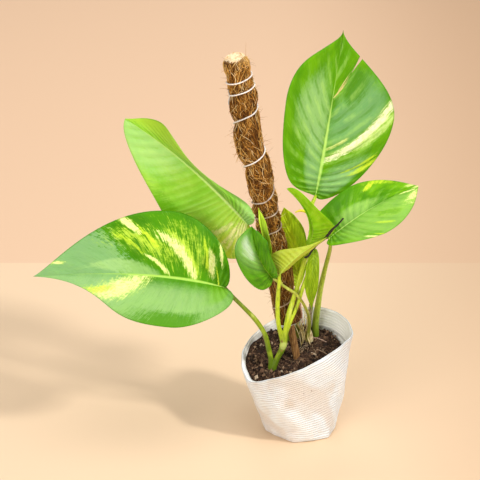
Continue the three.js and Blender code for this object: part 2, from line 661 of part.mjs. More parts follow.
const pole = new THREE.Group();
pole.position.copy(POLE.foot);
pole.quaternion.setFromUnitVectors(new THREE.Vector3(0, 0, 1), POLE.top.clone().sub(POLE.foot).normalize());
pole.updateMatrixWorld(true);
const stickLength = POLE.buried + poleLength - COIR.dome - CLEARANCE;
const stick = (radius, length, from) => {
  const geometry = new THREE.CylinderGeometry(radius, radius, length, POLE.stickSides);
  return geometry.rotateX(Math.PI / 2).translate(0, 0, from + length / 2);
};
pole.add(piece('pole_stick', stick(POLE.stickRadius, stickLength, -POLE.buried), COLOURS.wood));
pole.add(piece('coir_wrap', coirWrap(), COLOURS.coir, 0.95));
pole.add(piece('pole_string', poleString(), COLOURS.string, 0.8));
group.add(pole);

let soil = solid(soilBody());
const stickHole = stick(POLE.stickRadius + CLEARANCE, POLE.buried + 40, -POLE.buried - CLEARANCE);
soil = soil.subtract(solid(stickHole.applyMatrix4(pole.matrixWorld)));
for (const [name, plan] of Object.entries(STEMS)) {
  for (const route of plan.routes.filter((r) => r[0][2] < 101)) {
    const hole = stem(route, { below: SOIL_DEPTH + CLEARANCE, extra: CLEARANCE });
    soil = soil.subtract(solid(hole));
  }
  group.add(piece(name, geometryOf(leafyStem(plan)), plan.colour, 0.45));
}
group.add(piece('soil', geometryOf(soil), COLOURS.soil, 0.95));

for (const [name, leaf] of Object.entries(LEAVES)) {
  group.add(piece(name, leafBlade(leaf, BLADE), leaf.colour, 0.35));
}
for (const [name, sheath] of Object.entries(SHEATHS)) {
  group.add(piece(name, stem(sheath.route, { flatness: sheath.flatness, sides: 6 }), sheath.colour, 0.8));
}

export default group;
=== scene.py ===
"""A young golden pothos in a woven white grow bag, climbing a leaning pole wrapped in coconut fibre.

Shapes are worked out in millimetres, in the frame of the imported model, and put into meshes in metres.
"""

from __future__ import annotations

import logging
import math
from collections.abc import Callable
from dataclasses import dataclass, field
from enum import Enum
from functools import partial

import bpy
import numpy as np
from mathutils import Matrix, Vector

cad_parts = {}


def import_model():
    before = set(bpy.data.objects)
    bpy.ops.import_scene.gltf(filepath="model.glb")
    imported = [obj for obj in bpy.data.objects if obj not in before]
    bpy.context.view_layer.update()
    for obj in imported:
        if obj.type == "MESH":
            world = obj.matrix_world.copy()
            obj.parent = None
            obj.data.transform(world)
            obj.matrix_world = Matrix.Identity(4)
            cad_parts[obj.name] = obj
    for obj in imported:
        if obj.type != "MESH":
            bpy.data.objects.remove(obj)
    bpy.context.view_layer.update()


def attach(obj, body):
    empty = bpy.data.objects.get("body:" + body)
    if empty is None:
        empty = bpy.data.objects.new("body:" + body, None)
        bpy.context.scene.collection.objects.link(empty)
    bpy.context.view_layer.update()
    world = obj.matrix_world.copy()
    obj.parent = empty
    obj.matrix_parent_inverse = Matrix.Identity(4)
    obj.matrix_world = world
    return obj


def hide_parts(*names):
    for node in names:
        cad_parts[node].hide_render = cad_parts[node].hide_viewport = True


log = logging.getLogger("potted_pothos")

MM = 0.001
TURN = 2 * math.pi

Array = np.ndarray
Material = bpy.types.Material
Values = float | Array
Triple = tuple[float, float, float]
Colour = Triple


# Shared geometry


def mix(a: Values, b: Values, t: Values) -> Values:
    """Reads between two numbers or arrays, a at t = 0 and b at t = 1."""
    return a + (b - a) * t


def smooth_step(low: float, high: float, x: Values) -> Values:
    """Rises smoothly from 0 at low to 1 at high."""
    t = np.clip((x - low) / (high - low), 0, 1)
    return t * t * (3 - 2 * t)


def blend(values: tuple[float, ...], t: Values) -> Values:
    """Reads along two values, or along three of which the middle one is a quadratic control value."""
    if len(values) == 2:
        return mix(values[0], values[1], t)
    return mix(mix(values[0], values[1], t), mix(values[1], values[2], t), t)


def bezier(points: Array, t: Array) -> Array:
    """Points of a Bezier curve: the sum of its control points weighted by the Bernstein polynomials.

    Args:
        points: control points, one a row.
        t: places on the curve, from 0 to 1, of any shape.

    Returns:
        The points, with the shape of t and one more axis.
    """
    degree = len(points) - 1
    t = np.asarray(t, float)[..., None]
    return sum(math.comb(degree, k) * t**k * (1 - t) ** (degree - k) * points[k] for k in range(degree + 1))


def unit(vectors: Array) -> Array:
    """Vectors made one long."""
    return vectors / np.maximum(np.linalg.norm(vectors, axis=-1, keepdims=True), 1e-12)


def turned(vectors: Array, axes: Array, angles: Array) -> Array:
    """Vectors turned about unit axes at right angles to them, by angles in radians."""
    angles = np.asarray(angles)[..., None]
    return vectors * np.cos(angles) + np.cross(axes, vectors) * np.sin(angles)


def spots(*parts: Values) -> Array:
    """Points from their coordinates, each a number or an array."""
    return np.stack(np.broadcast_arrays(*parts), -1)


def distances(path: Array) -> Array:
    """Distance run at each point of a path: the running sum of its steps, from 0."""
    return np.r_[0, np.cumsum(np.linalg.norm(np.diff(path, axis=0), axis=1))]


def circle(sides: int, start: float = 0.0) -> Array:
    """Angles of points spread evenly round a circle."""
    return np.arange(sides) / sides * TURN + start


def lattice_noise(points: Array, size: float, seed: int) -> Array:
    """Smooth noise from -1 to 1: random values on a cubic lattice, blended between its corners.

    Args:
        points: places, in the last axis, of 2 or 3 numbers.
        size: width of a lattice cell, in the points' unit.
        seed: picks the random values.

    Returns:
        One value for each point.
    """
    cells = points / size
    low = np.floor(cells).astype(np.int64)
    share = cells - low
    share = share * share * (3 - 2 * share)
    total = np.zeros(points.shape[:-1])
    dimensions = points.shape[-1]
    primes = np.array([73856093, 19349663, 83492791])[:dimensions]
    for corner in range(2**dimensions):
        bits = np.array([(corner >> k) & 1 for k in range(dimensions)])
        key = ((low + bits) * primes).sum(-1) + seed * 2654435761
        key = (key ^ (key >> 13)) * 1274126177
        value = ((key ^ (key >> 16)) & 0xFFFF) / 32767.5 - 1
        weight = np.prod(np.where(bits == 1, share, 1 - share), axis=-1)
        total += value * weight
    return total


def rough(points: Array, size: float, seed: int, octaves: int = 3) -> Array:
    """Noise from -1 to 1 with finer noise of half the height added, octave by octave."""
    parts = [lattice_noise(points, size / 2**k, seed + k) / 2**k for k in range(octaves)]
    return sum(parts) / sum(0.5**k for k in range(octaves))


@dataclass
class Skin:
    """Points and faces of a mesh in millimetres, with what its material reads.

    Attributes:
        points: corner points, one a row.
        faces: lists of corner numbers, counter-clockwise from outside.
        uv: two numbers a point for the piece's UV map, or None.
        shades: named values, one a point.
    """

    points: Array
    faces: list
    uv: Array | None = None
    shades: dict[str, Array] = field(default_factory=dict)

    def joined(self, other: Skin) -> Skin:
        """This skin and another as one. Both have the same kinds of values."""
        shift = len(self.points)
        faces = self.faces + [[i + shift for i in face] for face in other.faces]
        uv = None if self.uv is None else np.vstack([self.uv, other.uv])
        shades = {k: np.concatenate([v, other.shades[k]]) for k, v in self.shades.items()}
        return Skin(np.vstack([self.points, other.points]), faces, uv, shades)

    def make(self, name: str, smooth: bool = True) -> bpy.types.Object:
        """Makes the Blender object, at the origin with its place in its mesh.

        Args:
            name: the piece's name.
            smooth: whether faces shade smoothly.

        Returns:
            The object, linked to the scene.
        """
        mesh = bpy.data.meshes.new(name)
        mesh.from_pydata((self.points * MM).tolist(), [], self.faces)
        corners = np.zeros(len(mesh.loops), np.int64)
        mesh.loops.foreach_get("vertex_index", corners)
        if self.uv is not None:
            layer = mesh.uv_layers.new(name="UVMap")
            layer.data.foreach_set("uv", self.uv[corners].astype(np.float32).ravel())
        for key, values in self.shades.items():
            attribute = mesh.attributes.new(key, "FLOAT", "POINT")
            attribute.data.foreach_set("value", values.astype(np.float32))
        mesh.polygons.foreach_set("use_smooth", np.full(len(mesh.polygons), smooth))
        mesh.update()
        made = bpy.data.objects.new(name, mesh)
        bpy.context.scene.collection.objects.link(made)
        return made


def grid_faces(rows: int, columns: int, start: int = 0, closed: bool = False) -> list:
    """Quads of a grid of points in rows, facing along (next column) x (next row).

    Args:
        rows: number of rows.
        columns: points in a row.
        start: number of the grid's first point.
        closed: whether each row runs round to its first point.

    Returns:
        Lists of four corner numbers.
    """
    row, column = np.meshgrid(
        np.arange(rows - 1), np.arange(columns if closed else columns - 1), indexing="ij"
    )
    after = (column + 1) % columns
    quads = np.stack(
        [
            row * columns + column,
            row * columns + after,
            (row + 1) * columns + after,
            (row + 1) * columns + column,
        ],
        axis=-1,
    )
    return (quads.reshape(-1, 4) + start).tolist()


def stacked(first: Array, rings: Array, last: Array) -> Skin:
    """A closed skin over rings, counter-clockwise seen from its last end, with a point at each end.

    Args:
        first: the point before the first ring.
        rings: rings, points, and three coordinates.
        last: the point after the last ring.

    Returns:
        The skin. Its UV map runs round the ring and along the rings.
    """
    count, sides = rings.shape[:2]
    points = np.vstack([first[None], rings.reshape(-1, 3), last[None]])
    faces = grid_faces(count, sides, 1, closed=True)
    end = len(points) - 1
    here = np.arange(sides)
    after = (here + 1) % sides
    faces += spots(0, 1 + after, 1 + here).tolist()
    faces += spots(end, end - sides + here, end - sides + after).tolist()
    uv = spots(here / sides, np.linspace(0, 1, count)[:, None]).reshape(-1, 2)
    return Skin(points, faces, np.vstack([[0, 0], uv, [0, 1]]))


@dataclass
class Route:
    """A smooth path through points, with a width at each: a centripetal Catmull-Rom curve.

    Attributes:
        stops: rows of x, y, z and any values that go with the path, such as its radius.
    """

    stops: Array

    def read(self, t: Array) -> Array:
        """Places on the path. The knots' spacing is the square root of the distance between stops.

        Args:
            t: from 0 at the first stop to 1 at the last, alike between each two stops.

        Returns:
            Rows of x, y, z and the other values, which run straight between the stops.
        """
        stops = np.asarray(self.stops, float)
        places = stops[:, :3]
        before = 2 * places[0] - places[1]
        after = 2 * places[-1] - places[-2]
        padded = np.vstack([before, places, after])
        gaps = np.maximum(np.linalg.norm(np.diff(padded, axis=0), axis=1) ** 0.5, 1e-4)
        reach = np.asarray(t, float) * (len(stops) - 1)
        k = np.clip(np.floor(reach).astype(int), 0, len(stops) - 2)
        f = (reach - k)[:, None]
        p0, p1, p2, p3 = (padded[k + j] for j in range(4))
        d0, d1, d2 = (gaps[k + j][:, None] for j in range(3))
        start = ((p1 - p0) / d0 - (p2 - p0) / (d0 + d1) + (p2 - p1) / d1) * d1
        end = ((p2 - p1) / d1 - (p3 - p1) / (d1 + d2) + (p3 - p2) / d2) * d1
        place = (
            p1
            + start * f
            + (3 * (p2 - p1) - 2 * start - end) * f**2
            + (2 * (p1 - p2) + start + end) * f**3
        )
        values = mix(stops[k, 3:], stops[k + 1, 3:], f)
        return np.hstack([place, values])

    def even(self, spacing: float) -> Array:
        """Rows of the path an even distance apart, about spacing long."""
        fine = self.read(np.linspace(0, 1, 60 * len(self.stops)))
        run = distances(fine[:, :3])
        count = max(4, int(round(run[-1] / spacing)))
        wanted = np.linspace(0, run[-1], count + 1)
        return np.stack([np.interp(wanted, run, fine[:, k]) for k in range(fine.shape[1])], -1)


def path_frames(path: Array, side: Triple = (1, 0, 0)) -> tuple[Array, Array, Array]:
    """Directions along a path and at right angles to it, with the least turning from step to step.

    Args:
        path: points, one a row.
        side: direction that the first of the two starts near.

    Returns:
        Unit vectors along, side and other, one row a point.
    """
    along = unit(np.gradient(path, axis=0))
    sides = np.zeros_like(path)
    current = np.array(side, float)
    if abs(current @ along[0]) > 0.95:
        current = np.array([0.0, 1.0, 0.3])
    for i, direction in enumerate(along):
        current = current - direction * (current @ direction)
        current = current / np.linalg.norm(current)
        sides[i] = current
    return along, sides, np.cross(along, sides)


CAP_SHRINK = 0.55
CAP_MIDDLE = 0.45
CAP_REACH = 0.6


def tube(
    path: Array, radius: Values, sides: int, flat: float = 1.0, relief: Callable | None = None
) -> Skin:
    """A closed tube along points: a circle, or an ellipse, carried at right angles to the path.

    Args:
        path: points, one a row.
        radius: one number, or one a point.
        sides: points round the tube.
        flat: the share of the radius across the second direction.
        relief: a function of the angles and of the distances run, giving a factor on the radius.

    Returns:
        The tube's skin, with rounded ends.
    """
    along, side, other = path_frames(path)
    radius = np.broadcast_to(radius, len(path)).astype(float)
    angle = circle(sides)
    factor = np.ones((len(path), sides))
    if relief is not None:
        factor = relief(angle[None, :], distances(path)[:, None])
    size = radius[:, None] * factor
    rings = (
        path[:, None]
        + side[:, None] * (size * np.cos(angle))[..., None]
        + other[:, None] * (size * flat * np.sin(angle))[..., None]
    )
    caps = []
    for end, sign in ((0, -1), (-1, 1)):
        middle = path[end] + sign * along[end] * radius[end] * CAP_MIDDLE
        caps.append(middle + (rings[end] - path[end]) * CAP_SHRINK)
    rings = np.concatenate([caps[0][None], rings, caps[1][None]])
    first = path[0] - along[0] * radius[0] * CAP_REACH
    last = path[-1] + along[-1] * radius[-1] * CAP_REACH
    return stacked(first, rings, last)


def tubes(paths: Array, radii: Array, sides: int, shades: Array, flat: float = 1.0) -> Skin:
    """Many thin tubes at once: a ring of points round each point of each path, closed at both ends.

    Args:
        paths: n paths of m points.
        radii: a radius for each point.
        sides: points in a ring.
        shades: a number for each tube, kept for its colour.
        flat: thickness as a share of the width.

    Returns:
        The tubes as one skin.
    """
    count, steps = radii.shape
    forward = unit(np.gradient(paths, axis=1))
    whole = unit(paths[:, -1:] - paths[:, :1])
    guide = np.where(np.abs(whole[..., 2:]) > 0.75, [1.0, 0.0, 0.0], [0.0, 0.0, 1.0])
    sideways = unit(np.cross(forward, guide))
    upward = np.cross(sideways, forward) * flat
    angle = circle(sides)
    ring = sideways[:, :, None] * np.cos(angle)[:, None] + upward[:, :, None] * np.sin(angle)[:, None]
    points = paths[:, :, None] + radii[..., None, None] * ring
    block = steps * sides
    first = np.arange(count)[:, None, None] * block
    walls = np.array(grid_faces(steps, sides, 0, closed=True))[None] + first
    ends = np.array([range(sides - 1, -1, -1), range(block - sides, block)])[None] + first
    faces = walls.reshape(-1, 4).tolist() + ends.reshape(-1, sides).tolist()
    return Skin(points.reshape(-1, 3), faces, None, {"shade": np.repeat(shades, block)})


# Node trees


class Shade:
    """A socket of a node tree that does arithmetic: an expression on shades adds Math nodes."""

    def __init__(self, board: Board, socket: bpy.types.NodeSocket) -> None:
        """Wraps a socket of a board."""
        self.board = board
        self.socket = socket

    def _with(self, operation: str, *values: Shade | float) -> Shade:
        """The result of a Math node."""
        return self.board.add("ShaderNodeMath", {"operation": operation}, dict(enumerate(values)))

    def __add__(self, other: Shade | float) -> Shade:
        """Sum."""
        return self._with("ADD", self, other)

    __radd__ = __add__

    def __sub__(self, other: Shade | float) -> Shade:
        """Difference."""
        return self._with("SUBTRACT", self, other)

    def __rsub__(self, other: Shade | float) -> Shade:
        """Difference from a number."""
        return self._with("SUBTRACT", other, self)

    def __mul__(self, other: Shade | float) -> Shade:
        """Product."""
        return self._with("MULTIPLY", self, other)

    __rmul__ = __mul__

    def __truediv__(self, other: Shade | float) -> Shade:
        """Quotient."""
        return self._with("DIVIDE", self, other)

    def __pow__(self, other: Shade | float) -> Shade:
        """Power."""
        return self._with("POWER", self, other)

    def __abs__(self) -> Shade:
        """Size without its sign."""
        return self._with("ABSOLUTE", self)

    def sin(self) -> Shade:
        """Sine of radians."""
        return self._with("SINE", self)

    def least(self, other: Shade | float) -> Shade:
        """The smaller of two."""
        return self._with("MINIMUM", self, other)

    def rise(self, low: float, high: float, to_low: float = 0.0, to_high: float = 1.0) -> Shade:
        """Runs smoothly from to_low at low to to_high at high, and stays there beyond."""
        return self.board.add(
            "ShaderNodeMapRange",
            {"interpolation_type": "SMOOTHSTEP"},
            {0: self, 1: low, 2: high, 3: to_low, 4: to_high},
        )


class Board:
    """A material's node tree, with the few ways in which this object's finishes use it."""

    def __init__(self, name: str) -> None:
        """Starts an empty material."""
        self.material = bpy.data.materials.new(name)
        self.material.use_nodes = True
        self.tree = self.material.node_tree
        self.tree.nodes.clear()

    def add(
        self, kind: str, settings: dict | None = None, inputs: dict | None = None, output: int | str = 0
    ) -> Shade:
        """Makes any node.

        Args:
            kind: the node's type.
            settings: its properties, set first. stops are a ramp's places and colours.
            inputs: numbers, colours or shades for its sockets, by name or number.
            output: name or number of the socket that is wanted.

        Returns:
            The wanted output.
        """
        node = self.tree.nodes.new(kind)
        for key, value in (settings or {}).items():
            if key == "stops":
                self._set_stops(node.color_ramp, value)
            else:
                setattr(node, key, value)
        for key, value in (inputs or {}).items():
            if isinstance(value, Shade):
                self.tree.links.new(value.socket, node.inputs[key])
            elif isinstance(value, tuple) and len(value) == 3 and node.inputs[key].type == "RGBA":
                node.inputs[key].default_value = (*value, 1.0)
            else:
                node.inputs[key].default_value = value
        return Shade(self, node.outputs[output])

    @staticmethod
    def _set_stops(ramp: bpy.types.ColorRamp, stops: list) -> None:
        """Gives a colour ramp its places and colours."""
        while len(ramp.elements) < len(stops):
            ramp.elements.new(1.0)
        for element, (place, colour) in zip(ramp.elements, stops):
            element.position = place
            element.color = (*colour, 1.0)

    def place(self) -> Shade:
        """Object coordinates, in metres."""
        return self.add("ShaderNodeTexCoord", output="Object")

    def surface(self) -> Shade:
        """The piece's own UV map."""
        return self.add("ShaderNodeUVMap", {"uv_map": "UVMap"})

    def parts(self, vector: Shade) -> tuple[Shade, Shade, Shade]:
        """The three coordinates of a vector."""
        first = self.add("ShaderNodeSeparateXYZ", inputs={0: vector})
        outputs = first.socket.node.outputs
        return first, Shade(self, outputs[1]), Shade(self, outputs[2])

    def named(self, attribute: str) -> Shade:
        """A value that the mesh carries."""
        return self.add("ShaderNodeAttribute", {"attribute_name": attribute}, output="Fac")

    def vector(self, operation: str, a: Shade, b: Triple, output: int | str = 0) -> Shade:
        """The result of a Vector Math node."""
        return self.add("ShaderNodeVectorMath", {"operation": operation}, {0: a, 1: b}, output)

    def noise(
        self, vector: Shade, scale: float | Triple, detail: float = 2.0, roughness: float = 0.5
    ) -> Shade:
        """Noise from about 0.2 to 0.8, its scale one number or one for each axis."""
        if isinstance(scale, tuple):
            vector, scale = self.vector("MULTIPLY", vector, scale), 1.0
        inputs = {"Vector": vector, "Scale": scale, "Detail": detail, "Roughness": roughness}
        return self.add("ShaderNodeTexNoise", inputs=inputs)

    def cells(self, vector: Shade, scale: float) -> Shade:
        """Distance to the nearest of scattered points."""
        return self.add("ShaderNodeTexVoronoi", {}, {"Vector": vector, "Scale": scale}, "Distance")

    def tint(self, a: Shade | Colour, b: Shade | Colour, factor: Shade | float) -> Shade:
        """A colour between two."""
        settings = {"data_type": "RGBA", "clamp_factor": True}
        return self.add("ShaderNodeMix", settings, {0: factor, 6: a, 7: b}, 2)

    def layered(self, colour: Shade, *layers: tuple[Colour, Shade]) -> Shade:
        """A colour with tones laid over it in turn, each given with its share."""
        for tone, share in layers:
            colour = self.tint(colour, tone, share)
        return colour

    def ramp(self, value: Shade, stops: list) -> Shade:
        """A colour read from a ramp of (place, colour)."""
        return self.add("ShaderNodeValToRGB", {"stops": stops}, {0: value})

    def bump(self, height: Shade, distance: float) -> Shade:
        """A normal bent by a height. distance is the height of 1, in metres."""
        return self.add("ShaderNodeBump", inputs={"Height": height, "Distance": distance, "Strength": 1.0})

    def finish(
        self, colour: Shade, roughness: Shade | float, normal: Shade | None = None, **sockets: object
    ) -> Material:
        """Ends the tree in a Principled surface.

        Args:
            colour: base colour.
            roughness: roughness.
            normal: bent normal, or None.
            **sockets: other sockets by name, with _ for a space.

        Returns:
            The material.
        """
        inputs = {"Base Color": colour, "Roughness": roughness}
        if normal is not None:
            inputs["Normal"] = normal
        inputs.update({key.replace("_", " "): value for key, value in sockets.items()})
        skin = self.add("ShaderNodeBsdfPrincipled", inputs=inputs)
        output = self.tree.nodes.new("ShaderNodeOutputMaterial")
        self.tree.links.new(skin.socket, output.inputs["Surface"])
        return self.material


# Grow bag and soil


@dataclass
class GrowBag:
    """The soft woven bag: a leaning cone, six-cornered at its foot, its mouth folded inwards."""

    base_radius: float = 42.5
    corners: int = 6
    corner_azimuth: float = math.radians(-104)
    bottom_edge: float = 3.0
    mouth_radius: float = 63.5
    mouth_x: float = -6.2
    belly: float = 0.5
    belly_left: float = 1.5
    crease: float = 0.9
    wall: float = 1.0
    cuff_wall: float = 2.4
    cuff_bulge: float = 3.4
    cuff_depth: float = 22.0
    sides: int = 288
    seam: float = 0.0952
    rib: float = 0.0032
    cloth_width: float = 0.36
    bottom_centre: tuple[float, float] = (-12.0, -9.0)
    mouth_heights: tuple[float, ...] = (87, 75, 88, 103, 117, 124, 121, 125, 126, 120, 107, 96)

    def mouth_height(self, azimuth: Array) -> Array:
        """Height of the mouth: a Catmull-Rom curve through heights every 30 degrees from -X."""
        heights = np.array(self.mouth_heights, float)
        n = len(heights)
        t = (azimuth + math.pi) / TURN * n
        k = np.floor(t).astype(int)
        a, b, c, d = (heights[(k + o) % n] for o in (-1, 0, 1, 2))
        f = t - k
        return b + 0.5 * f * (c - a + f * (2 * a - 5 * b + 4 * c - d + f * (3 * (b - c) + d - a)))

    def wall_radius(self, azimuth: Array, share: Array) -> Array:
        """Radius of the wall at a share of the mouth's height: a cone drawn out to corners at its foot."""
        sector = TURN / self.corners
        from_edge = (azimuth - self.corner_azimuth + 4 * TURN) % sector - sector / 2
        from_corner = np.hypot(sector / 2 - np.abs(from_edge), 0.02 + 0.5 * np.clip(share, 0, 1))
        drawn = np.cos(sector / 2) / np.cos(sector / 2 - from_corner)
        corner = mix(1, drawn, 0.75 * (1 - np.clip(share, 0, 1)) ** 3)
        lift = np.sin(np.pi * np.clip(share, 0, 1))
        belly = (self.belly - self.belly_left * np.cos(azimuth)) * lift
        crease = self.crease * np.sin(3 * azimuth + 4 * share) * lift**2
        return mix(self.base_radius, self.mouth_radius, share) * corner + belly + crease

    def wall_points(
        self, azimuth: Array, share: Values, inwards: Values, height: Values | None = None
    ) -> Array:
        """Points of the wall, a depth inwards from its outside."""
        if height is None:
            height = share * self.mouth_height(azimuth)
        radius = self.wall_radius(azimuth, share) - inwards
        x = self.mouth_x * share + radius * np.cos(azimuth)
        return spots(x, radius * np.sin(azimuth), height)

    def creases(self, azimuth: Array, share: Array) -> Array:
        """Depth of the cloth's soft folds: slanting waves that die out at the foot and at the mouth."""
        azimuth, share = np.broadcast_arrays(azimuth, np.clip(share, 0, 1))
        fade = np.sin(np.pi * share) ** 0.6
        front = np.exp(-(((azimuth + 1.3 + np.pi) % TURN - np.pi) ** 2) / 2.2)
        slant = np.sin(4 * azimuth + 6.0 * share + 0.2) ** 3 * 2.7
        fine = np.sin(9 * azimuth - 9 * share + 1.8 * np.sin(3 * azimuth)) * 0.45
        around = spots(np.cos(azimuth) * 55, np.sin(azimuth) * 55, share * 100)
        loose = rough(around, 26, 5, 3) * 1.5
        foot = np.exp(-(((share - 0.06) / 0.05) ** 2)) * rough(around, 11, 8, 2) * 1.5
        hem = np.exp(-(((share - 0.97) / 0.035) ** 2)) * 0.45 * np.sin(17 * azimuth + 2)
        folds = fade * (slant * (0.4 + 0.6 * front) + fine + loose) + hem + foot
        return np.where(folds < 0, 1.3 * np.tanh(folds / 1.3), folds)

    def skin(self) -> Skin:
        """The bag's cloth: up the outside to the mouth, over the fold, down the cuff and the inside."""
        azimuth = circle(self.sides, -np.pi)
        mouth = self.mouth_height(azimuth)
        cuff = 1 - self.cuff_depth / mouth
        rings = []
        left = np.exp(-(((azimuth + 2.75 + np.pi) % TURN - np.pi) ** 2) / 0.3)
        fold = self.cuff_wall + self.cuff_bulge * left

        def ring(share: Values, inwards: Values, lift: float = 0.0, folded: float = 1.0) -> None:
            """Adds a ring at a share of the height, with the cloth's folds."""
            share = np.broadcast_to(share, azimuth.shape)
            depth = inwards - folded * self.creases(azimuth, share)
            rings.append(self.wall_points(azimuth, share, depth, share * mouth + lift))

        def flat(loss: float, height: Values) -> None:
            """Adds a ring of the bottom."""
            rings.append(self.wall_points(azimuth, 0.0, loss, height))

        foot = np.array([*self.bottom_centre, 0.0])
        floor = np.array([*self.bottom_centre, self.wall])

        hem = 0.35 * np.sin(9 * azimuth + 1) * np.exp(-((azimuth + 1.75) ** 2) / 0.2)
        for part in (0.25, 0.5, 0.75, 0.92):
            rings.append(mix(foot, self.wall_points(azimuth, 0.0, 1.5, 0.0), part))
        flat(self.bottom_edge * 0.6, 0.25)
        flat(0.9, 0.9 + hem)
        for share in np.linspace(0.025, 0.985, 64):
            ring(share, 0.0)
        ring(1.0, 0.2, -1.0)
        ring(1.0, 0.7, -0.2)
        rim = len(rings)
        ring(1.0, fold / 2, 0.05)
        ring(1.0, fold - 0.6, -0.3)
        for part in np.linspace(0.06, 1, 12):
            loose = 0.5 * np.sin(azimuth * 7 + part * 3) * np.sin(part * np.pi)
            settled = mix(fold, self.cuff_wall, part**2) - 0.25 * np.sin(part * 8) + loose
            ring(mix(1.0, cuff, part), settled, 0, 1 - part)
        ring(cuff, self.wall, -0.8)
        for part in np.linspace(0.95, 0.12, 40):
            ring(cuff * part, self.wall + 0.1)
        flat(self.wall + 1.2, self.bottom_edge)
        flat(self.wall + self.bottom_edge, self.wall)
        skin = stacked(foot, np.array(rings), floor)
        run = np.r_[0, np.cumsum(np.linalg.norm(np.diff(np.array(rings), axis=0), axis=-1).mean(1))]
        uv = spots((azimuth + np.pi) / TURN * self.cloth_width, run[:, None] * MM).reshape(-1, 2)
        skin.uv = np.vstack([[0, 0], uv, [0, run[-1] * MM]])
        inside = (np.arange(len(rings)) > rim).repeat(self.sides)
        share = np.clip(np.array(rings)[:, :, 2] / mouth, 0, 1)
        folds = self.creases(azimuth[None], share).reshape(-1)
        skin.shades = {"inside": np.r_[0, inside, 1], "fold": np.r_[0, folds, 0]}
        return skin

    def cloth(self) -> Material:
        """Woven white plastic, peach where the cloth is thin, with painted shade between its ribs of flat
        tape and in its folds, painted highlights on the folds' ridges, and painted light on its right side
        and inside.
        """
        board = Board("woven_white")
        around, up, _ = board.parts(board.surface())
        place = board.place()
        wobble = board.noise(place, 38, 2) - 0.5
        lines = ((up + wobble * 0.0012) * (TURN / self.rib)).sin().rise(-1.0, 0.2)
        streaks = board.noise(board.surface(), (60, 900, 1), 3)
        cloudy = board.noise(place, 19, 3, 0.55)
        blotch = board.noise(place, 62, 3, 0.6)
        fold, inside = board.named("fold"), board.named("inside")
        # painted shade: darker lines in the grooves between the ribs, none on the inside
        rib_gap_shade = (1 - lines) * streaks.rise(0.32, 0.64) * (1 - inside)
        peach = (0.78, 0.66, 0.54)
        colour = board.layered(
            board.ramp(
                cloudy, [(0.34, (0.86, 0.82, 0.77)), (0.44, (0.92, 0.93, 0.94)), (0.54, (0.92, 0.97, 1.0))]
            ),
            # painted light: the right side, towards the key lamp, whiter and cooler
            ((0.86, 0.94, 1.0), board.parts(place)[0].rise(-0.01, 0.03) * 0.85),
            # painted shade: peach in the valleys of the folds; painted highlight: whiter on their ridges
            (peach, fold.rise(0.4, -1.2) * 0.55),
            ((0.94, 0.98, 1.0), fold.rise(0.6, 1.8) * 0.8),
            (peach, blotch.rise(0.58, 0.72) * 0.25),
            ((0.6, 0.55, 0.48), abs(around - self.seam).rise(0.0009, 0.0003) * 0.1),
            # painted light: the inside brighter and warmer, for light that shines through the cloth
            ((1.0, 0.97, 0.9), inside),
            ((0.5, 0.42, 0.34), rib_gap_shade * 0.42),
        )
        normal = board.bump(lines * (1 - inside * 0.8) + blotch * 0.8, 0.001)
        return board.finish(colour, 0.62 - lines * 0.1, normal, Specular_IOR_Level=0.35, Sheen_Weight=0.12)


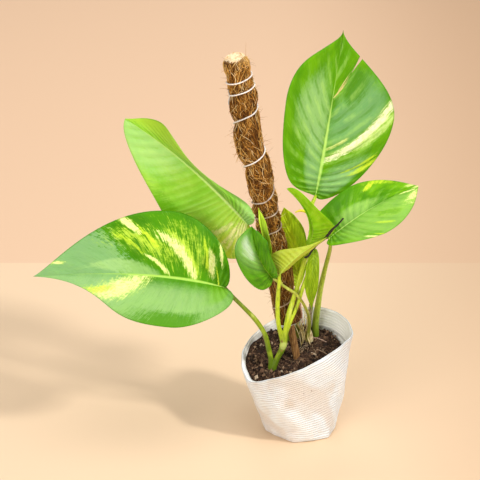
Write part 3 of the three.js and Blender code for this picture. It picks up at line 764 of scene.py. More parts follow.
@dataclass
class PottingMix:
    """The potting mix: a sloping, lumpy surface strewn with crumbs, fibres and bits of bark."""

    bag: GrowBag
    height: float = 87.5
    slope_x: float = 0.06
    slope_y: float = 0.3
    lump: float = 1.8
    edge_drop: float = 3.0
    sides: int = 200
    rings: int = 64
    seed: int = 11

    def level(self, x: Array, y: Array) -> Array:
        """Height of the mix: a slope with crossed waves."""
        lumps = np.sin(x / 5.1 + 1) * np.cos(y / 6.3) + 0.6 * np.sin(x / 2.9 - y / 3.7 + 2)
        return self.height + self.slope_x * x + self.slope_y * y + self.lump * lumps

    def crumbled(self, x: Array, y: Array) -> Array:
        """The level with clods and crumbs added in finer and finer noise."""
        flat = spots(x, y)
        clods = np.abs(rough(flat, 9, 21, 2)) * 2.2 - 0.7
        crumbs = rough(flat, 3.2, 31, 3) * 1.1
        return self.level(x, y) + clods + crumbs

    def skin(self) -> Skin:
        """The mix as it fills the bag, its sides along the wall and its top crumbled."""
        bag = self.bag
        azimuth = circle(self.sides, -np.pi)
        mouth = bag.mouth_height(azimuth)

        def at_wall(inwards: float) -> Array:
            """Height of the mix at the wall."""
            guess = bag.wall_points(azimuth, 0 * azimuth + 0.75, inwards)
            return np.minimum(self.level(guess[:, 0], guess[:, 1]) - self.edge_drop, mouth - 4)

        def side(inwards: float, height: Values) -> Array:
            """A ring that lies against the wall."""
            height = height + 0 * azimuth
            return bag.wall_points(azimuth, height / mouth, inwards, height)

        under = np.minimum(mouth - bag.cuff_depth - 4, at_wall(3) - 4)
        rings = [
            bag.wall_points(azimuth, 0.0, 6, 1.6),
            side(3.5, 12),
            side(3, 0.5 * under),
            side(2.4, under),
            side(2.9, np.minimum(under + 2.5, at_wall(3) - 1)),
        ]
        edge = side(2.9, at_wall(3) + 0.4)
        rings.append(edge)
        centre = np.array([bag.mouth_x, 0.0, 0.0])
        for k in range(1, self.rings):
            ring = mix(edge, centre, k / self.rings)
            settle = min(1.0, k / self.rings * 5 / 1.5)
            ring[:, 2] = mix(edge[:, 2], self.crumbled(ring[:, 0], ring[:, 1]), settle)
            rings.append(ring)
        centre[2] = self.crumbled(centre[:1], centre[1:2])[0]
        return stacked(np.array([0.0, 0.0, 1.6]), np.array(rings), centre)

    def crumbs(self, count: int = 2400) -> Skin:
        """Crumbs and bits of bark: squashed eight-faced lumps, seeded, half sunk in the mix."""
        rng = np.random.default_rng(self.seed)
        radius = 55 * np.sqrt(rng.random(count))
        azimuth = rng.random(count) * TURN
        x, y = self.bag.mouth_x + radius * np.cos(azimuth), radius * np.sin(azimuth)
        size = 0.5 + 2.3 * rng.random(count) ** 3.2
        stretch = 0.6 + 0.8 * rng.random((count, 3))
        spin, _ = np.linalg.qr(rng.normal(size=(count, 3, 3)))
        z = self.crumbled(x, y) + 0.15 * size
        corner = np.array([[1, 0, 0], [-1, 0, 0], [0, 1, 0], [0, -1, 0], [0, 0, 1], [0, 0, -1]], float)
        local = corner[None] * stretch[:, None] * size[:, None, None]
        local = local * (0.75 + 0.5 * rng.random((count, 6, 1)))
        placed = np.einsum("nij,nkj->nki", spin, local)
        points = placed + spots(x, y, z)[:, None]
        handed = np.linalg.det(spin) > 0
        pattern = np.array(
            [[0, 2, 4], [2, 1, 4], [1, 3, 4], [3, 0, 4], [2, 0, 5], [1, 2, 5], [3, 1, 5], [0, 3, 5]]
        )
        wound = np.where(handed[:, None, None], pattern[None], pattern[None, :, ::-1])
        faces = (wound + np.arange(count)[:, None, None] * 6).reshape(-1, 3).tolist()
        shade = np.repeat(rng.random(count), 6)
        return Skin(points.reshape(-1, 3), faces, None, {"shade": shade})

    def fibres(self, count: int = 240) -> Skin:
        """Thin fibres and root hairs that lie on the mix: short bent three-sided tubes, seeded."""
        rng = np.random.default_rng(self.seed + 1)
        reach = 50 * np.sqrt(rng.random((count, 1)))
        turn = rng.random((count, 1)) * TURN
        s = np.linspace(-0.5, 0.5, 6)[None]
        angle = rng.random((count, 1)) * TURN + rng.normal(0, 0.9, (count, 1)) * s * 2
        length = 3 + 12 * rng.random((count, 1)) ** 2
        x = self.bag.mouth_x + reach * np.cos(turn) + np.cumsum(np.cos(angle), 1) * length / 6
        y = reach * np.sin(turn) + np.cumsum(np.sin(angle), 1) * length / 6
        keep = (np.hypot(x - self.bag.mouth_x, y) < 52).all(1)
        lift = 0.35 + rng.random((count, 1)) * 1.8 * (1 - (2 * s) ** 2)
        paths = spots(x, y, self.crumbled(x, y) + lift)[keep]
        radii = (0.13 + 0.14 * rng.random((count, 1)) + 0 * s)[keep]
        return tubes(paths, radii, 3, rng.random(count)[keep])

    def earth(self) -> Material:
        """Damp dark earth with paler specks."""
        board = Board("potting_mix")
        place = board.place()
        grain = board.noise(place, 420, 4, 0.7)
        clods = board.cells(place, 260)
        colour = board.ramp(
            grain,
            [(0.3, (0.01, 0.005, 0.003)), (0.5, (0.045, 0.022, 0.012)), (0.72, (0.16, 0.085, 0.05))],
        )
        speck = board.noise(place, 900, 2, 0.6).rise(0.62, 0.7)
        colour = board.tint(colour, (0.3, 0.18, 0.1), speck * 0.6)
        normal = board.bump(grain + clods * 0.6, 0.0012)
        return board.finish(colour, 0.9, normal, Specular_IOR_Level=0.2)

    def crumb_earth(self) -> Material:
        """Crumbs from nearly black to reddish and pale brown."""
        board = Board("crumbs")
        shade = board.named("shade")
        colour = board.ramp(
            shade,
            [
                (0.0, (0.012, 0.006, 0.004)),
                (0.4, (0.05, 0.026, 0.015)),
                (0.72, (0.15, 0.08, 0.045)),
                (0.93, (0.3, 0.18, 0.1)),
                (0.99, (0.5, 0.38, 0.26)),
            ],
        )
        grain = board.noise(board.place(), 900, 3)
        colour = board.tint(colour, (0.02, 0.01, 0.006), grain.rise(0.5, 0.7) * 0.5)
        return board.finish(colour, 0.85, board.bump(grain, 0.0005), Specular_IOR_Level=0.25)


# Pole


@dataclass
class CoirPole:
    """A stick in a sleeve of coconut fibre, tied round with string. Its own +Z runs along the pole."""

    foot: Triple = (-5.9, 2.9, 87.0)
    top: Triple = (-76.7, -22.0, 455.0)
    stick_radius: float = 4.3
    buried: float = 58.0
    low: float = 50.0
    foot_radius: float = 14.0
    top_radius: float = 15.6
    dome: float = 10.0
    groove: float = 3.3
    groove_width: float = 7.0
    bow: float = 3.0
    bow_at: float = 278.0
    bow_length: float = 28.0
    string_radius: float = 0.75
    string_lead: float = 0.35
    string_sag: float = 0.07
    string_lay: float = 4.0
    string_steps: int = 72
    thatch_seed: int = 19
    stray_seed: int = 77
    crossings: tuple[float, ...] = (77, 124, 167, 187, 206, 255.5, 309, 337.5, 350)

    def __post_init__(self) -> None:
        """Works out the pole's length and its own directions."""
        foot, top = np.array(self.foot), np.array(self.top)
        self.length = float(np.linalg.norm(top - foot))
        axis = (top - foot) / self.length
        upright = np.array([0.0, 0.0, 1.0])
        turn = np.cross(upright, axis)
        sine, cosine = np.linalg.norm(turn), float(axis @ upright)
        turn = turn / sine
        skew = np.array([[0, -turn[2], turn[1]], [turn[2], 0, -turn[0]], [-turn[1], turn[0], 0]])
        self.rotation = np.eye(3) + sine * skew + (1 - cosine) * skew @ skew

    def placed(self, points: Array) -> Array:
        """Points of the pole's own frame, put in the model's."""
        return points @ self.rotation.T + np.array(self.foot)

    def around(self, azimuth: Values, radius: Values, along: Values) -> Array:
        """Points round the pole: azimuth, radius and distance along it."""
        return self.placed(spots(radius * np.cos(azimuth), radius * np.sin(azimuth), along))

    def string_height(self, angle: Array) -> Array:
        """Distance along the pole of the string after an angle, from its lowest front crossing."""
        n = len(self.crossings)
        heights = np.array(self.crossings, float)
        t = np.clip(np.asarray(angle) / TURN, -self.string_lead, n - 1 + self.string_lead)
        k = np.clip(np.floor(t).astype(int), 0, n - 2)
        f = t - k
        return mix(heights[k], heights[k + 1], f - self.string_sag * np.sin(TURN * f))

    def coir_radius(self, azimuth: Values, along: Values) -> Array:
        """Radius of the sleeve, drawn in where the string goes round it."""
        share = (along - self.low) / (self.length - self.low)
        lumps = 0.5 * np.sin(3 * azimuth + along / 17) + 0.4 * np.sin(2 * azimuth - along / 11)
        turn = (azimuth + np.pi / 2) % TURN
        squeeze = np.zeros(np.broadcast(azimuth, along).shape)
        for k in range(len(self.crossings)):
            distance = (along - self.string_height(turn + TURN * k)) / self.groove_width
            share_of_groove = 0.55 if k >= len(self.crossings) - 2 else 1.0
            squeeze = np.maximum(squeeze, share_of_groove * np.exp(-distance * distance))
        from_bow = (along - self.bow_at) / self.bow_length
        bow = -self.bow * np.cos(azimuth) * np.exp(-from_bow * from_bow)
        round_ = mix(self.foot_radius, self.top_radius, share)
        round_ = round_ - 1.3 * smooth_step(self.length - 50, self.length - 12, along)
        return round_ + lumps + bow - self.groove * squeeze

    def cap_share(self, along: Array) -> Array:
        """Share of the radius left near the top: 1 up to the cap, then (1 - height squared) to the 1/4."""
        over = np.clip((along - (self.length - self.dome)) / self.dome, 0, 0.97)
        return (1 - over**2) ** 0.25

    def sleeve(self) -> Skin:
        """The sleeve's packed fibre, its surface broken up by noise, with a bore for the stick."""
        sides, rows = 96, 300
        azimuth = circle(sides)
        weave = azimuth * 19.8
        bore = self.stick_radius + 0.35
        bore_top = self.length - self.dome

        def ring(radius: Values, along: float) -> Array:
            """One ring, in the pole's own frame."""
            return spots(radius * np.cos(azimuth), radius * np.sin(azimuth), along)

        rings = [ring(bore, bore_top), ring(bore, self.low), ring(bore + 3, self.low - 0.5)]
        for along in np.linspace(self.low, self.length - self.dome, rows):
            fray = rough(spots(weave, along), 5.0, 41, 3) * 0.75 - 0.9
            rings.append(ring(self.coir_radius(azimuth, along) + fray, along))
        for angle in np.radians([8, 18, 28, 38, 48, 58, 68, 76, 82, 86, 88.5]):
            along = self.length - self.dome + self.dome * math.sin(angle)
            fray = rough(spots(weave, along), 4.0, 47, 3) * 0.8 - 0.7
            radius = (self.coir_radius(azimuth, along) + fray) * math.cos(angle) ** 0.35
            rings.append(ring(radius, along))
        skin = stacked(np.array([0, 0, bore_top]), np.array(rings), np.array([0, 0, self.length - 0.4]))
        skin.points = self.placed(skin.points)
        return skin

    def fibre_mat(self, count: int, seed: int, lift: float, spread: float) -> Skin:
        """Fibres that lie on the sleeve: bent four-sided tubes, seeded, mostly along the pole.

        Args:
            count: how many.
            seed: picks the draws.
            lift: mean height over the sleeve.
            spread: how far their headings turn from the pole, in radians.

        Returns:
            The fibres as one skin, with a shade for each.
        """
        rng = np.random.default_rng(seed)
        steps = 6
        azimuth = rng.random(count) * TURN
        along = mix(self.low + 4, self.length - 3, rng.random(count))
        heading = rng.normal(0, spread, count) + 0.35 * np.sin(along / 40 + azimuth)
        length = 9 + 17 * rng.random(count)
        bend = rng.normal(0, 0.5, count)
        s = np.linspace(-0.5, 0.5, steps)[None]
        turn = heading[:, None] + bend[:, None] * s * 2
        ahead = np.cos(turn) * length[:, None] / steps
        aside = np.sin(turn) * length[:, None] / steps
        z = along[:, None] + np.cumsum(ahead, 1) - ahead.sum(1, keepdims=True) / 2
        around = azimuth[:, None] + np.cumsum(aside, 1) / 15
        z = np.clip(z, self.low + 1, self.length + 1.5)
        cap = self.cap_share(z)
        height = lift * (0.4 + rng.random((count, 1))) + 0.7 * rng.normal(0, 0.4, (count, steps))
        radius = self.coir_radius(around, z) * cap + height * (0.3 + 0.7 * cap)
        centre = self.around(around, radius, z)
        taper = np.array([0.5, 0.9, 1, 1, 0.8, 0.4])[None]
        width = (0.16 + 0.17 * rng.random(count))[:, None] * taper
        golden = smooth_step(self.length - 26, self.length - 6, along)
        shade = mix(rng.random(count), 0.86 + 0.14 * rng.random(count), 0.8 * golden)
        return tubes(centre, width, 4, shade)

    def thatch(self, count: int = 460) -> Skin:
        """Pale cut fibres that lie across the sleeve's top and turn down over its rim, seeded.

        Each follows a chord of the top: its height is the cap's own at that distance from the axis.
        """
        rng = np.random.default_rng(self.thatch_seed)
        s = np.linspace(-1, 1, 9)[None]
        turn = rng.normal(0.5, 0.75, (count, 1))
        reach = self.top_radius - 2.9
        offset = rng.uniform(-0.92, 0.92, (count, 1)) * reach
        half = np.sqrt(reach**2 - offset**2) * rng.uniform(0.25, 1.0, (count, 1))
        middle = rng.uniform(-0.6, 0.6, (count, 1)) * half
        along_chord = np.clip(middle + half * s, -reach, reach)
        across = offset + rng.normal(0, 1.1, (count, 1)) * s**2
        x = along_chord * np.cos(turn) - across * np.sin(turn)
        y = along_chord * np.sin(turn) + across * np.cos(turn)
        share = np.clip(np.hypot(x, y) / (reach + 0.2), 0, 1)
        drop = self.dome * (1 - (1 - share**7) ** 0.5)
        lift = rng.uniform(-0.5, 1.0, (count, 1)) + rng.normal(0, 0.25, (count, 9))
        z = self.length - 0.6 - drop + lift
        radii = (0.17 + 0.17 * rng.random((count, 1))) * (1 - 0.5 * s**4)
        return tubes(self.placed(spots(x, y, z)), radii, 4, rng.random(count))

    def strays(self, count: int = 1100) -> Skin:
        """Fibres that stand out of the sleeve: a few long ones with set places, then seeded ones."""
        rng = np.random.default_rng(self.stray_seed)
        set_places = np.array(
            [
                (-0.35, 372, 20.0, 1.35, 0.2),
                (-0.5, 371, 8.0, 0.9, 0.18),
                (-2.9, 292, 14.0, -0.35, 0.2),
                (-0.1, 301, 10.0, 0.05, 0.2),
                (-0.2, 268, 12.0, 0.15, 0.2),
                (-3.0, 268, 9.0, -0.9, 0.3),
                (-2.75, 266, 11.0, -1.0, 0.32),
                (-3.05, 262, 9.0, -1.1, 0.3),
                (-2.9, 264, 7.0, 0.3, 0.25),
                (-0.15, 272, 12.0, 0.25, 0.17),
                (-0.1, 171, 9.0, 0.6, 0.2),
                (0.1, 176, 8.0, 0.9, 0.2),
            ]
        )
        seeded = np.stack(
            [
                rng.random(count) * TURN,
                mix(self.low + 8, self.length - 2, rng.random(count)),
                2.0 + 9.0 * rng.random(count) ** 2,
                rng.normal(0, 0.75, count),
                0.14 + 0.07 * rng.random(count),
            ],
            -1,
        )
        azimuth, along, length, rise, radius = np.vstack([set_places, seeded]).T[..., None]
        n = len(azimuth)
        s = np.linspace(0, 1, 6)[None]
        curve = rng.normal(0, 0.4, (n, 1))
        base = self.coir_radius(azimuth, along) * self.cap_share(along) - 0.8
        r = base + length * s * np.cos(rise)
        z = along + length * s * np.sin(rise) + curve * length * s**2 * 0.5
        paths = self.around(azimuth + curve * 0.3 * s**2, r, z)
        return tubes(paths, radius * (1 - 0.6 * s), 3, 0.3 + 0.7 * rng.random(n))

    def string(self) -> Skin:
        """The string, wound up the sleeve in one length, its two strands twisted."""
        n = len(self.crossings)
        turns = n - 1 + 2 * self.string_lead
        angle = (np.linspace(0, 1, int(turns * self.string_steps)) * turns - self.string_lead) * TURN
        along = self.string_height(angle)
        azimuth = angle - np.pi / 2
        under = np.max([self.coir_radius(azimuth, along + step) for step in (-4, 0, 4)], axis=0)
        under = np.convolve(np.pad(under, 4, "edge"), np.ones(9) / 9, "valid")
        path = self.around(azimuth, under + 0.1 + self.string_radius, along)

        def twist(round_: Array, run: Array) -> Array:
            """Two strands that turn once in the string's lay."""
            return 1 + 0.13 * np.cos(2 * round_ - run * TURN / self.string_lay)

        return tube(path, self.string_radius, 10, relief=twist)

    def knot(self) -> Skin:
        """The string's end at the pole's left side: a short tail that hangs straight down."""
        along = np.array([341, 337, 332, 327, 323.0])
        azimuth = np.array([-2.75, -2.95, -3.0, -3.02, -2.98])
        lift = np.array([0.9, 1.5, 1.7, 1.9, 1.5])
        path = self.around(azimuth, self.coir_radius(azimuth, along) + lift, along)
        path = Route(path).even(0.8)
        return tube(path, 0.62, 8)

    def stick(self) -> Skin:
        """The stick, not quite straight-grained, from inside the soil to inside the sleeve's top."""
        z = np.linspace(-self.buried, self.length - self.dome - 0.35, 120)
        path = self.around(0 * z, 0 * z, z)

        def grain(angle: Array, run: Array) -> Array:
            """Shallow flutes along the wood."""
            return 1 - 0.05 * np.cos(5 * angle + run / 30) ** 2 - 0.03 * np.cos(9 * angle - run / 17)

        return tube(path, self.stick_radius, 32, relief=grain)

    def fibre(self, name: str, dark: float) -> Material:
        """Coconut fibre, each from dark brown to golden by its own shade."""
        board = Board(name)
        shade = board.named("shade")
        tones = {0: (0.06, 0.02, 0.003), 0.3: (0.26, 0.095, 0.013), 0.62: (0.6, 0.27, 0.042)}
        tones[0.88] = (0.82, 0.5, 0.14)
        stops = [(at, tuple(part * dark for part in tone)) for at, tone in tones.items()]
        colour = board.ramp(shade, [*stops, (1.0, (0.95, 0.76, 0.42))])
        place = board.place()
        worn = board.noise(place, 120, 3)
        bright = shade.rise(0.8, 1.0, 1.0, 0.2)
        low = board.parts(place)[2].rise(0.3, 0.14)
        colour = board.layered(
            colour,
            ((0.07, 0.03, 0.008), low * 0.35),
            ((0.08, 0.028, 0.005), worn.rise(0.5, 0.68) * bright * 0.55),
        )
        return board.finish(colour, 0.8, Specular_IOR_Level=0.12)

    @staticmethod
    def grained(board: Board, squash: float) -> Shade:
        """Object coordinates turned to the pole's lean and squashed along it."""
        inputs = {"Vector": board.place(), "Rotation": (0.0, 0.19, 0.0), "Scale": (1.0, 1.0, squash)}
        return board.add("ShaderNodeMapping", {}, inputs)

    def packed(self) -> Material:
        """The sleeve under its fibres: dark, streaked along the pole."""
        board = Board("packed_coir")
        place = self.grained(board, 0.2)
        strand = board.noise(place, 900, 4, 0.7)
        clump = board.noise(board.place(), 160, 2)
        colour = board.ramp(
            strand,
            [(0.35, (0.02, 0.007, 0.002)), (0.52, (0.14, 0.055, 0.01)), (0.68, (0.42, 0.21, 0.05))],
        )
        colour = board.tint(colour, (0.03, 0.011, 0.003), clump.rise(0.45, 0.65) * 0.5)
        _, _, height = board.parts(board.place())
        colour = board.tint(colour, (0.55, 0.33, 0.12), height.rise(0.449, 0.456) * 0.7)
        return board.finish(colour, 0.85, board.bump(strand, 0.0015), Specular_IOR_Level=0.2)

    def twine(self) -> Material:
        """White string, with painted shade between its strands, stained brown low on the pole."""
        board = Board("white_string")
        around, along, _ = board.parts(board.surface())
        ply = (around * (2 * TURN) - along * 1400).sin()
        # painted shade: greyer between the two strands
        colour = board.tint((0.78, 0.7, 0.62), (1.0, 0.97, 0.92), ply.rise(-0.8, 0.3))
        _, _, height = board.parts(board.place())
        dusty = board.noise(board.place(), 70, 2).rise(0.35, 0.6)
        colour = board.tint(colour, (0.4, 0.23, 0.1), height.rise(0.345, 0.28) * (dusty * 0.3 + 0.55))
        fluff = board.noise(board.place(), 1500, 2)
        return board.finish(colour, 0.8, board.bump(ply * 0.4 + fluff, 0.0003), Sheen_Weight=0.2)

    def bark(self) -> Material:
        """Brown wood, streaked along its grain."""
        board = Board("stick_wood")
        place = self.grained(board, 0.08)
        grain = board.noise(place, 1100, 4, 0.65)
        colour = board.ramp(
            grain, [(0.35, (0.07, 0.028, 0.01)), (0.5, (0.25, 0.115, 0.034)), (0.66, (0.5, 0.28, 0.1))]
        )
        return board.finish(colour, 0.75, board.bump(grain, 0.0008), Specular_IOR_Level=0.25)


# Leaves


class Half(Enum):
    """The two halves of a blade, by their sign across the midrib."""

    RIGHT = 1
    LEFT = -1
    BOTH = 0


@dataclass(frozen=True)
class Tear:
    """A split that draws the margin in.

    Attributes:
        at: its row, from 0 at the base to 1 at the tip.
        half: half its width, in rows.
        depth: how far it draws the margin in, as a share.
    """

    at: float
    half: float
    depth: float


@dataclass(frozen=True)
class HalfBlade:
    """The outline and bending of one half of a blade.

    Attributes:
        width: its width, reached at the distance widest from the base.
        widest: that distance.
        lobe: how far the lobe reaches behind the base.
        opening: how square the lobe leaves the base.
        back: how square the lobe's shoulder is.
        shoulder: how full the half is after its widest place.
        taper: where it starts to run to the tip.
        tip: width there, as a share of width.
        fold: lift from flat, from base to tip, in degrees.
        curl: bending towards the margin, from base to tip, in degrees.
        tear: a split, or None.
    """

    width: float
    widest: float
    lobe: float
    opening: float
    back: float
    shoulder: float
    taper: float
    tip: float
    fold: tuple[float, ...]
    curl: tuple[float, ...]
    tear: Tear | None = None

    def edge(self, length: float, t: Array) -> Array:
        """The margin laid flat: one cubic round the lobe to the widest place, and one on to the tip."""
        rest = length - self.widest
        first = np.array(
            [
                [0, 0],
                [-self.lobe, self.opening * self.width],
                [self.back * self.widest, self.width],
                [self.widest, self.width],
            ]
        )
        second = np.array(
            [
                [self.widest, self.width],
                [self.widest + rest * self.shoulder, self.width],
                [length - rest * self.taper, self.tip * self.width],
                [length, 0],
            ]
        )
        lobe = bezier(first, np.clip(2 * t, 0, 1))
        end = bezier(second, np.clip(2 * t - 1, 0, 1))
        return np.where((t < 0.5)[..., None], lobe, end)


@dataclass(frozen=True)
class Grain:
    """Three noises of one blade: broad and fine strands along its side veins, and spots."""

    feather: Shade
    strands: Shade
    mottle: Shade


@dataclass(frozen=True)
class Streak:
    """A patch of another colour that follows the side veins.

    Attributes:
        half: the half that it is on.
        row: its middle row, from 0 at the base to 1 at the tip.
        row_half: half its width in rows.
        inner: where it starts, from 0 at the midrib to 1 at the margin.
        outer: where it ends.
        strength: how much of its colour shows.
        colour: its colour.
        lean: how far its middle row moves from its inner to its outer end.
        soft: from 0, feathered along the veins, to 1, an even cloud.
        blur: how gradually it ends, as a share of its size.
        sparse: from 0, whole, to 1, only its strongest strands.
    """

    half: Half
    row: float
    row_half: float
    inner: float
    outer: float
    strength: float
    colour: Colour
    lean: float = 0.0
    soft: float = 0.0
    blur: float = 0.35
    sparse: float = 0.0

    def laid(self, board: Board, under: Shade, grain: Grain, row: Shade, side: Shade, out: Shade) -> Shade:
        """Lays the streak over a colour: a green halo, then a core, both feathered along the veins.

        Args:
            board: the material.
            under: the colour below.
            grain: the blade's noises.
            row: row of the point.
            side: signed share from the midrib to the margin.
            out: the same without its sign.

        Returns:
            The new colour.
        """
        centre, half_span = (self.inner + self.outer) / 2, (self.outer - self.inner) / 2
        middle = out * self.lean + (self.row - self.lean * centre)
        fray = 1 - self.soft
        across = abs(row - middle) / self.row_half
        length = abs(out - centre) / half_span
        reach = (across**2 + length**4) ** 0.5
        ragged = (grain.feather - 0.5) * (0.4 + 2.2 * fray) + (grain.strands - 0.5) * (0.4 + 3.4 * fray)
        worn = reach + ragged + (grain.mottle - 0.5) * (0.8 + 0.8 * fray) + self.sparse
        here = 1.0
        if self.half is not Half.BOTH:
            here = (side * self.half.value).rise(-0.004, 0.006)
        core = worn.rise(1 + self.blur, 1 - self.blur) * self.strength * here
        if fray <= 0.5:
            return board.tint(under, self.colour, core)
        under = board.tint(under, HALO, worn.rise(1.7, 0.9) * (self.strength * 0.5) * here)
        varied = board.tint(self.colour, HALO, grain.mottle.rise(0.45, 0.66) * 0.4)
        return board.tint(under, varied, core)


@dataclass(frozen=True)
class BladeFinish:
    """The look of a blade.

    Attributes:
        deep: its darkest green.
        fresh: its lightest green.
        rib: the midrib's colour.
        gloss: roughness of its surface.
        coat: weight of its waxy coat.
        streaks: its variegation, and its painted sheen and highlights.
        fleck: how strongly fine flecks along the veins show.
        veining: how strongly the side veins show, as painted shade in their grooves and painted sheen on
            the swells between them.
        shine: level of its reflection, 0.5 for a plain surface.
        rib_width: width of the pale midrib, as a share of the half.
    """

    deep: Colour
    fresh: Colour
    rib: Colour
    gloss: float = 0.38
    coat: float = 0.03
    streaks: tuple[Streak, ...] = ()
    fleck: float = 0.25
    rib_width: float = 0.02
    veining: float = 0.3
    shine: float = 0.08


VEIN_SWEEP = 1.9
VEIN_STEEPEN = 0.7
VEIN_LEAN = 0.35
VEIN_ARCH = 0.62
BLADE = 0.8
HALO = (0.4, 0.66, 0.02)


@dataclass(frozen=True)
class Leaf:
    """One blade: its midrib, its halves and its look.

    Attributes:
        name: the node that it replaces.
        middle: the midrib's quadratic curve.
        roll: turn about the midrib, from base to tip, in degrees.
        right: the half to the right of the midrib, seen from the front, base down.
        left: the other half.
        finish: its look.
        slot: the record's material slot.
        quilt: height of the waves between side veins.
        veins: side veins a half.
        ruffle: height of the margin's waves.
        rib_front: height of the midrib on the front, below 0 for a groove.
        rib_back: height of the midrib on the back.
    """

    name: str
    middle: tuple[Triple, ...]
    roll: tuple[float, float]
    right: HalfBlade
    left: HalfBlade
    finish: BladeFinish
    slot: str = "leaf"
    quilt: float = 0.24
    veins: int = 15
    ruffle: float = 0.5
    rib_front: float = -0.3
    rib_back: float = 1.0
    rows: int = 150
    columns: int = 34

    def midrib(self) -> tuple[Array, Array, float]:
        """The midrib's points, their distances from the base, and its length."""
        points = bezier(np.array(self.middle, float), np.linspace(0, 1, 801))
        run = distances(points)
        return points, run, float(run[-1])

    def placed(self, sign: int, x: Array, y: Array) -> Array:
        """Flat blade points, x along the midrib and y out from it, put on the folded and curled blade.

        Across the midrib each half is an arc of a circle: it leaves the midrib at the fold's angle and
        turns by the curl's angle over its width.

        Args:
            sign: 1 for the right half, -1 for the left.
            x: distances along the midrib.
            y: distances out from it, never below 0.

        Returns:
            Points in the model's frame.
        """
        points, run, length = self.midrib()
        half = self.right if sign > 0 else self.left
        inside = np.clip(x, 0, length)
        tangents = unit(np.gradient(points, run, axis=0))
        place = np.stack([np.interp(inside, run, points[:, k]) for k in range(3)], -1)
        along = unit(np.stack([np.interp(inside, run, tangents[:, k]) for k in range(3)], -1))
        place = place + along * (x - inside)[..., None]
        across = unit(np.cross(along, np.array([0.0, -1.0, 0.0])))
        u = inside / length
        across = turned(across, along, -np.radians(mix(self.roll[0], self.roll[1], u)))
        up = np.cross(across, along)
        fold = np.radians(blend(half.fold, u))
        curl = np.radians(blend(half.curl, u))
        curl = np.where(np.abs(curl) < 1e-3, 1e-3, curl)
        end = fold - curl * y / half.width
        radius = (half.width / curl)[..., None]
        place = place + sign * across * radius * (np.sin(fold) - np.sin(end))[..., None]
        return place + up * radius * (np.cos(end) - np.cos(fold))[..., None]

    def row_places(self) -> Array:
        """Rows from base to tip, closer at both ends, and with rows of its own at a tear."""
        even = np.linspace(0, 1, self.rows + 1)[1:-1]
        places = mix(even, 0.5 - 0.5 * np.cos(np.pi * even), 0.55)
        tear = self.right.tear
        if tear is not None:
            places = places[np.abs(places - tear.at) > 1.2 * tear.half]
            near = tear.at + tear.half * np.array([-1.15, -1, -0.8, -0.6, -0.4, -0.2, 0])
            places = np.sort(np.r_[places, near, 2 * tear.at - near[:-1]])
        return places

    def skin(self) -> Skin:
        """The blade as a thin closed plate. Its rows follow the side veins, from the midrib to the margin.

        A row starts on the midrib at length * t ** (1.9 + 0.7 t) and arches out to the margin as a
        quadratic curve. The relief adds the midrib, the waves between the side veins and the margin's
        waves, and thins the plate towards its margin.
        """
        _, _, length = self.midrib()
        t = self.row_places()
        share = np.linspace(0, 1, self.columns + 1) ** 1.5
        root = (length * t ** (VEIN_SWEEP + VEIN_STEEPEN * t))[:, None]
        halves = {}
        for sign, half in ((1, self.right), (-1, self.left)):
            edge = half.edge(length, t)
            torn = np.ones_like(t)
            if half.tear is not None:
                off = np.abs(t - half.tear.at) / half.tear.half
                torn = 1 - half.tear.depth * np.clip(1 - off, 0, 1)
            v = share[None]
            bend = 2 * v * (1 - v)
            lean = mix(root, edge[:, :1], VEIN_LEAN)
            x = (1 - v) ** 2 * root + bend * lean + v * v * edge[:, :1]
            y = bend * VEIN_ARCH * edge[:, 1:] + v * v * edge[:, 1:]
            x = mix(root, x, torn[:, None])
            y = np.maximum(0, y * torn[:, None])
            halves[sign] = (self.placed(sign, x, y), x, y)
        sheet, x, y = (
            np.concatenate([left[:, :0:-1], right], axis=1) for left, right in zip(halves[-1], halves[1])
        )
        v = np.concatenate([-share[:0:-1], share])[None] + 0 * x
        normal = unit(np.cross(np.gradient(sheet, axis=1), np.gradient(sheet, axis=0)))
        front, back = self.relief(t[:, None] + 0 * x, v, x / length, y)
        return self.plate(sheet, normal, front, back, t, v)

    def relief(self, t: Array, v: Array, u: Array, y: Array) -> tuple[Array, Array]:
        """Heights of the front and of the back over the blade's middle surface.

        Args:
            t: rows, from 0 at the base to 1 at the tip.
            v: signed shares from the midrib to the margin.
            u: share of the way along the midrib.
            y: distance out from the midrib.

        Returns:
            Heights of the front and of the back.
        """
        size = np.abs(v)
        within = np.sin(np.pi * np.clip(size, 0, 1)) ** 0.6
        waves = np.cos(self.veins * TURN * t + 0.8 * np.sign(v))
        quilt = self.quilt * waves * within * smooth_step(0.02, 0.15, t)
        ruffle = self.ruffle * size**3 * np.sin(9 * t * math.pi + 1.3 * np.sign(v))
        ruffle = ruffle * smooth_step(0, 0.2, t) * smooth_step(1, 0.8, t)
        taper = mix(1.0, 0.25, np.clip(u, 0, 1))
        rib = np.exp(-((y / (1.5 * taper + 0.2)) ** 2))
        groove = self.rib_front * taper * rib
        keel = self.rib_back * taper * rib
        side_rib = 0.12 * np.exp(-(((waves - 1) / 0.25) ** 2)) * within
        thick = BLADE / 2 * (1 - 0.55 * size**6)
        return thick + quilt + ruffle + groove, thick - quilt - ruffle + keel + side_rib

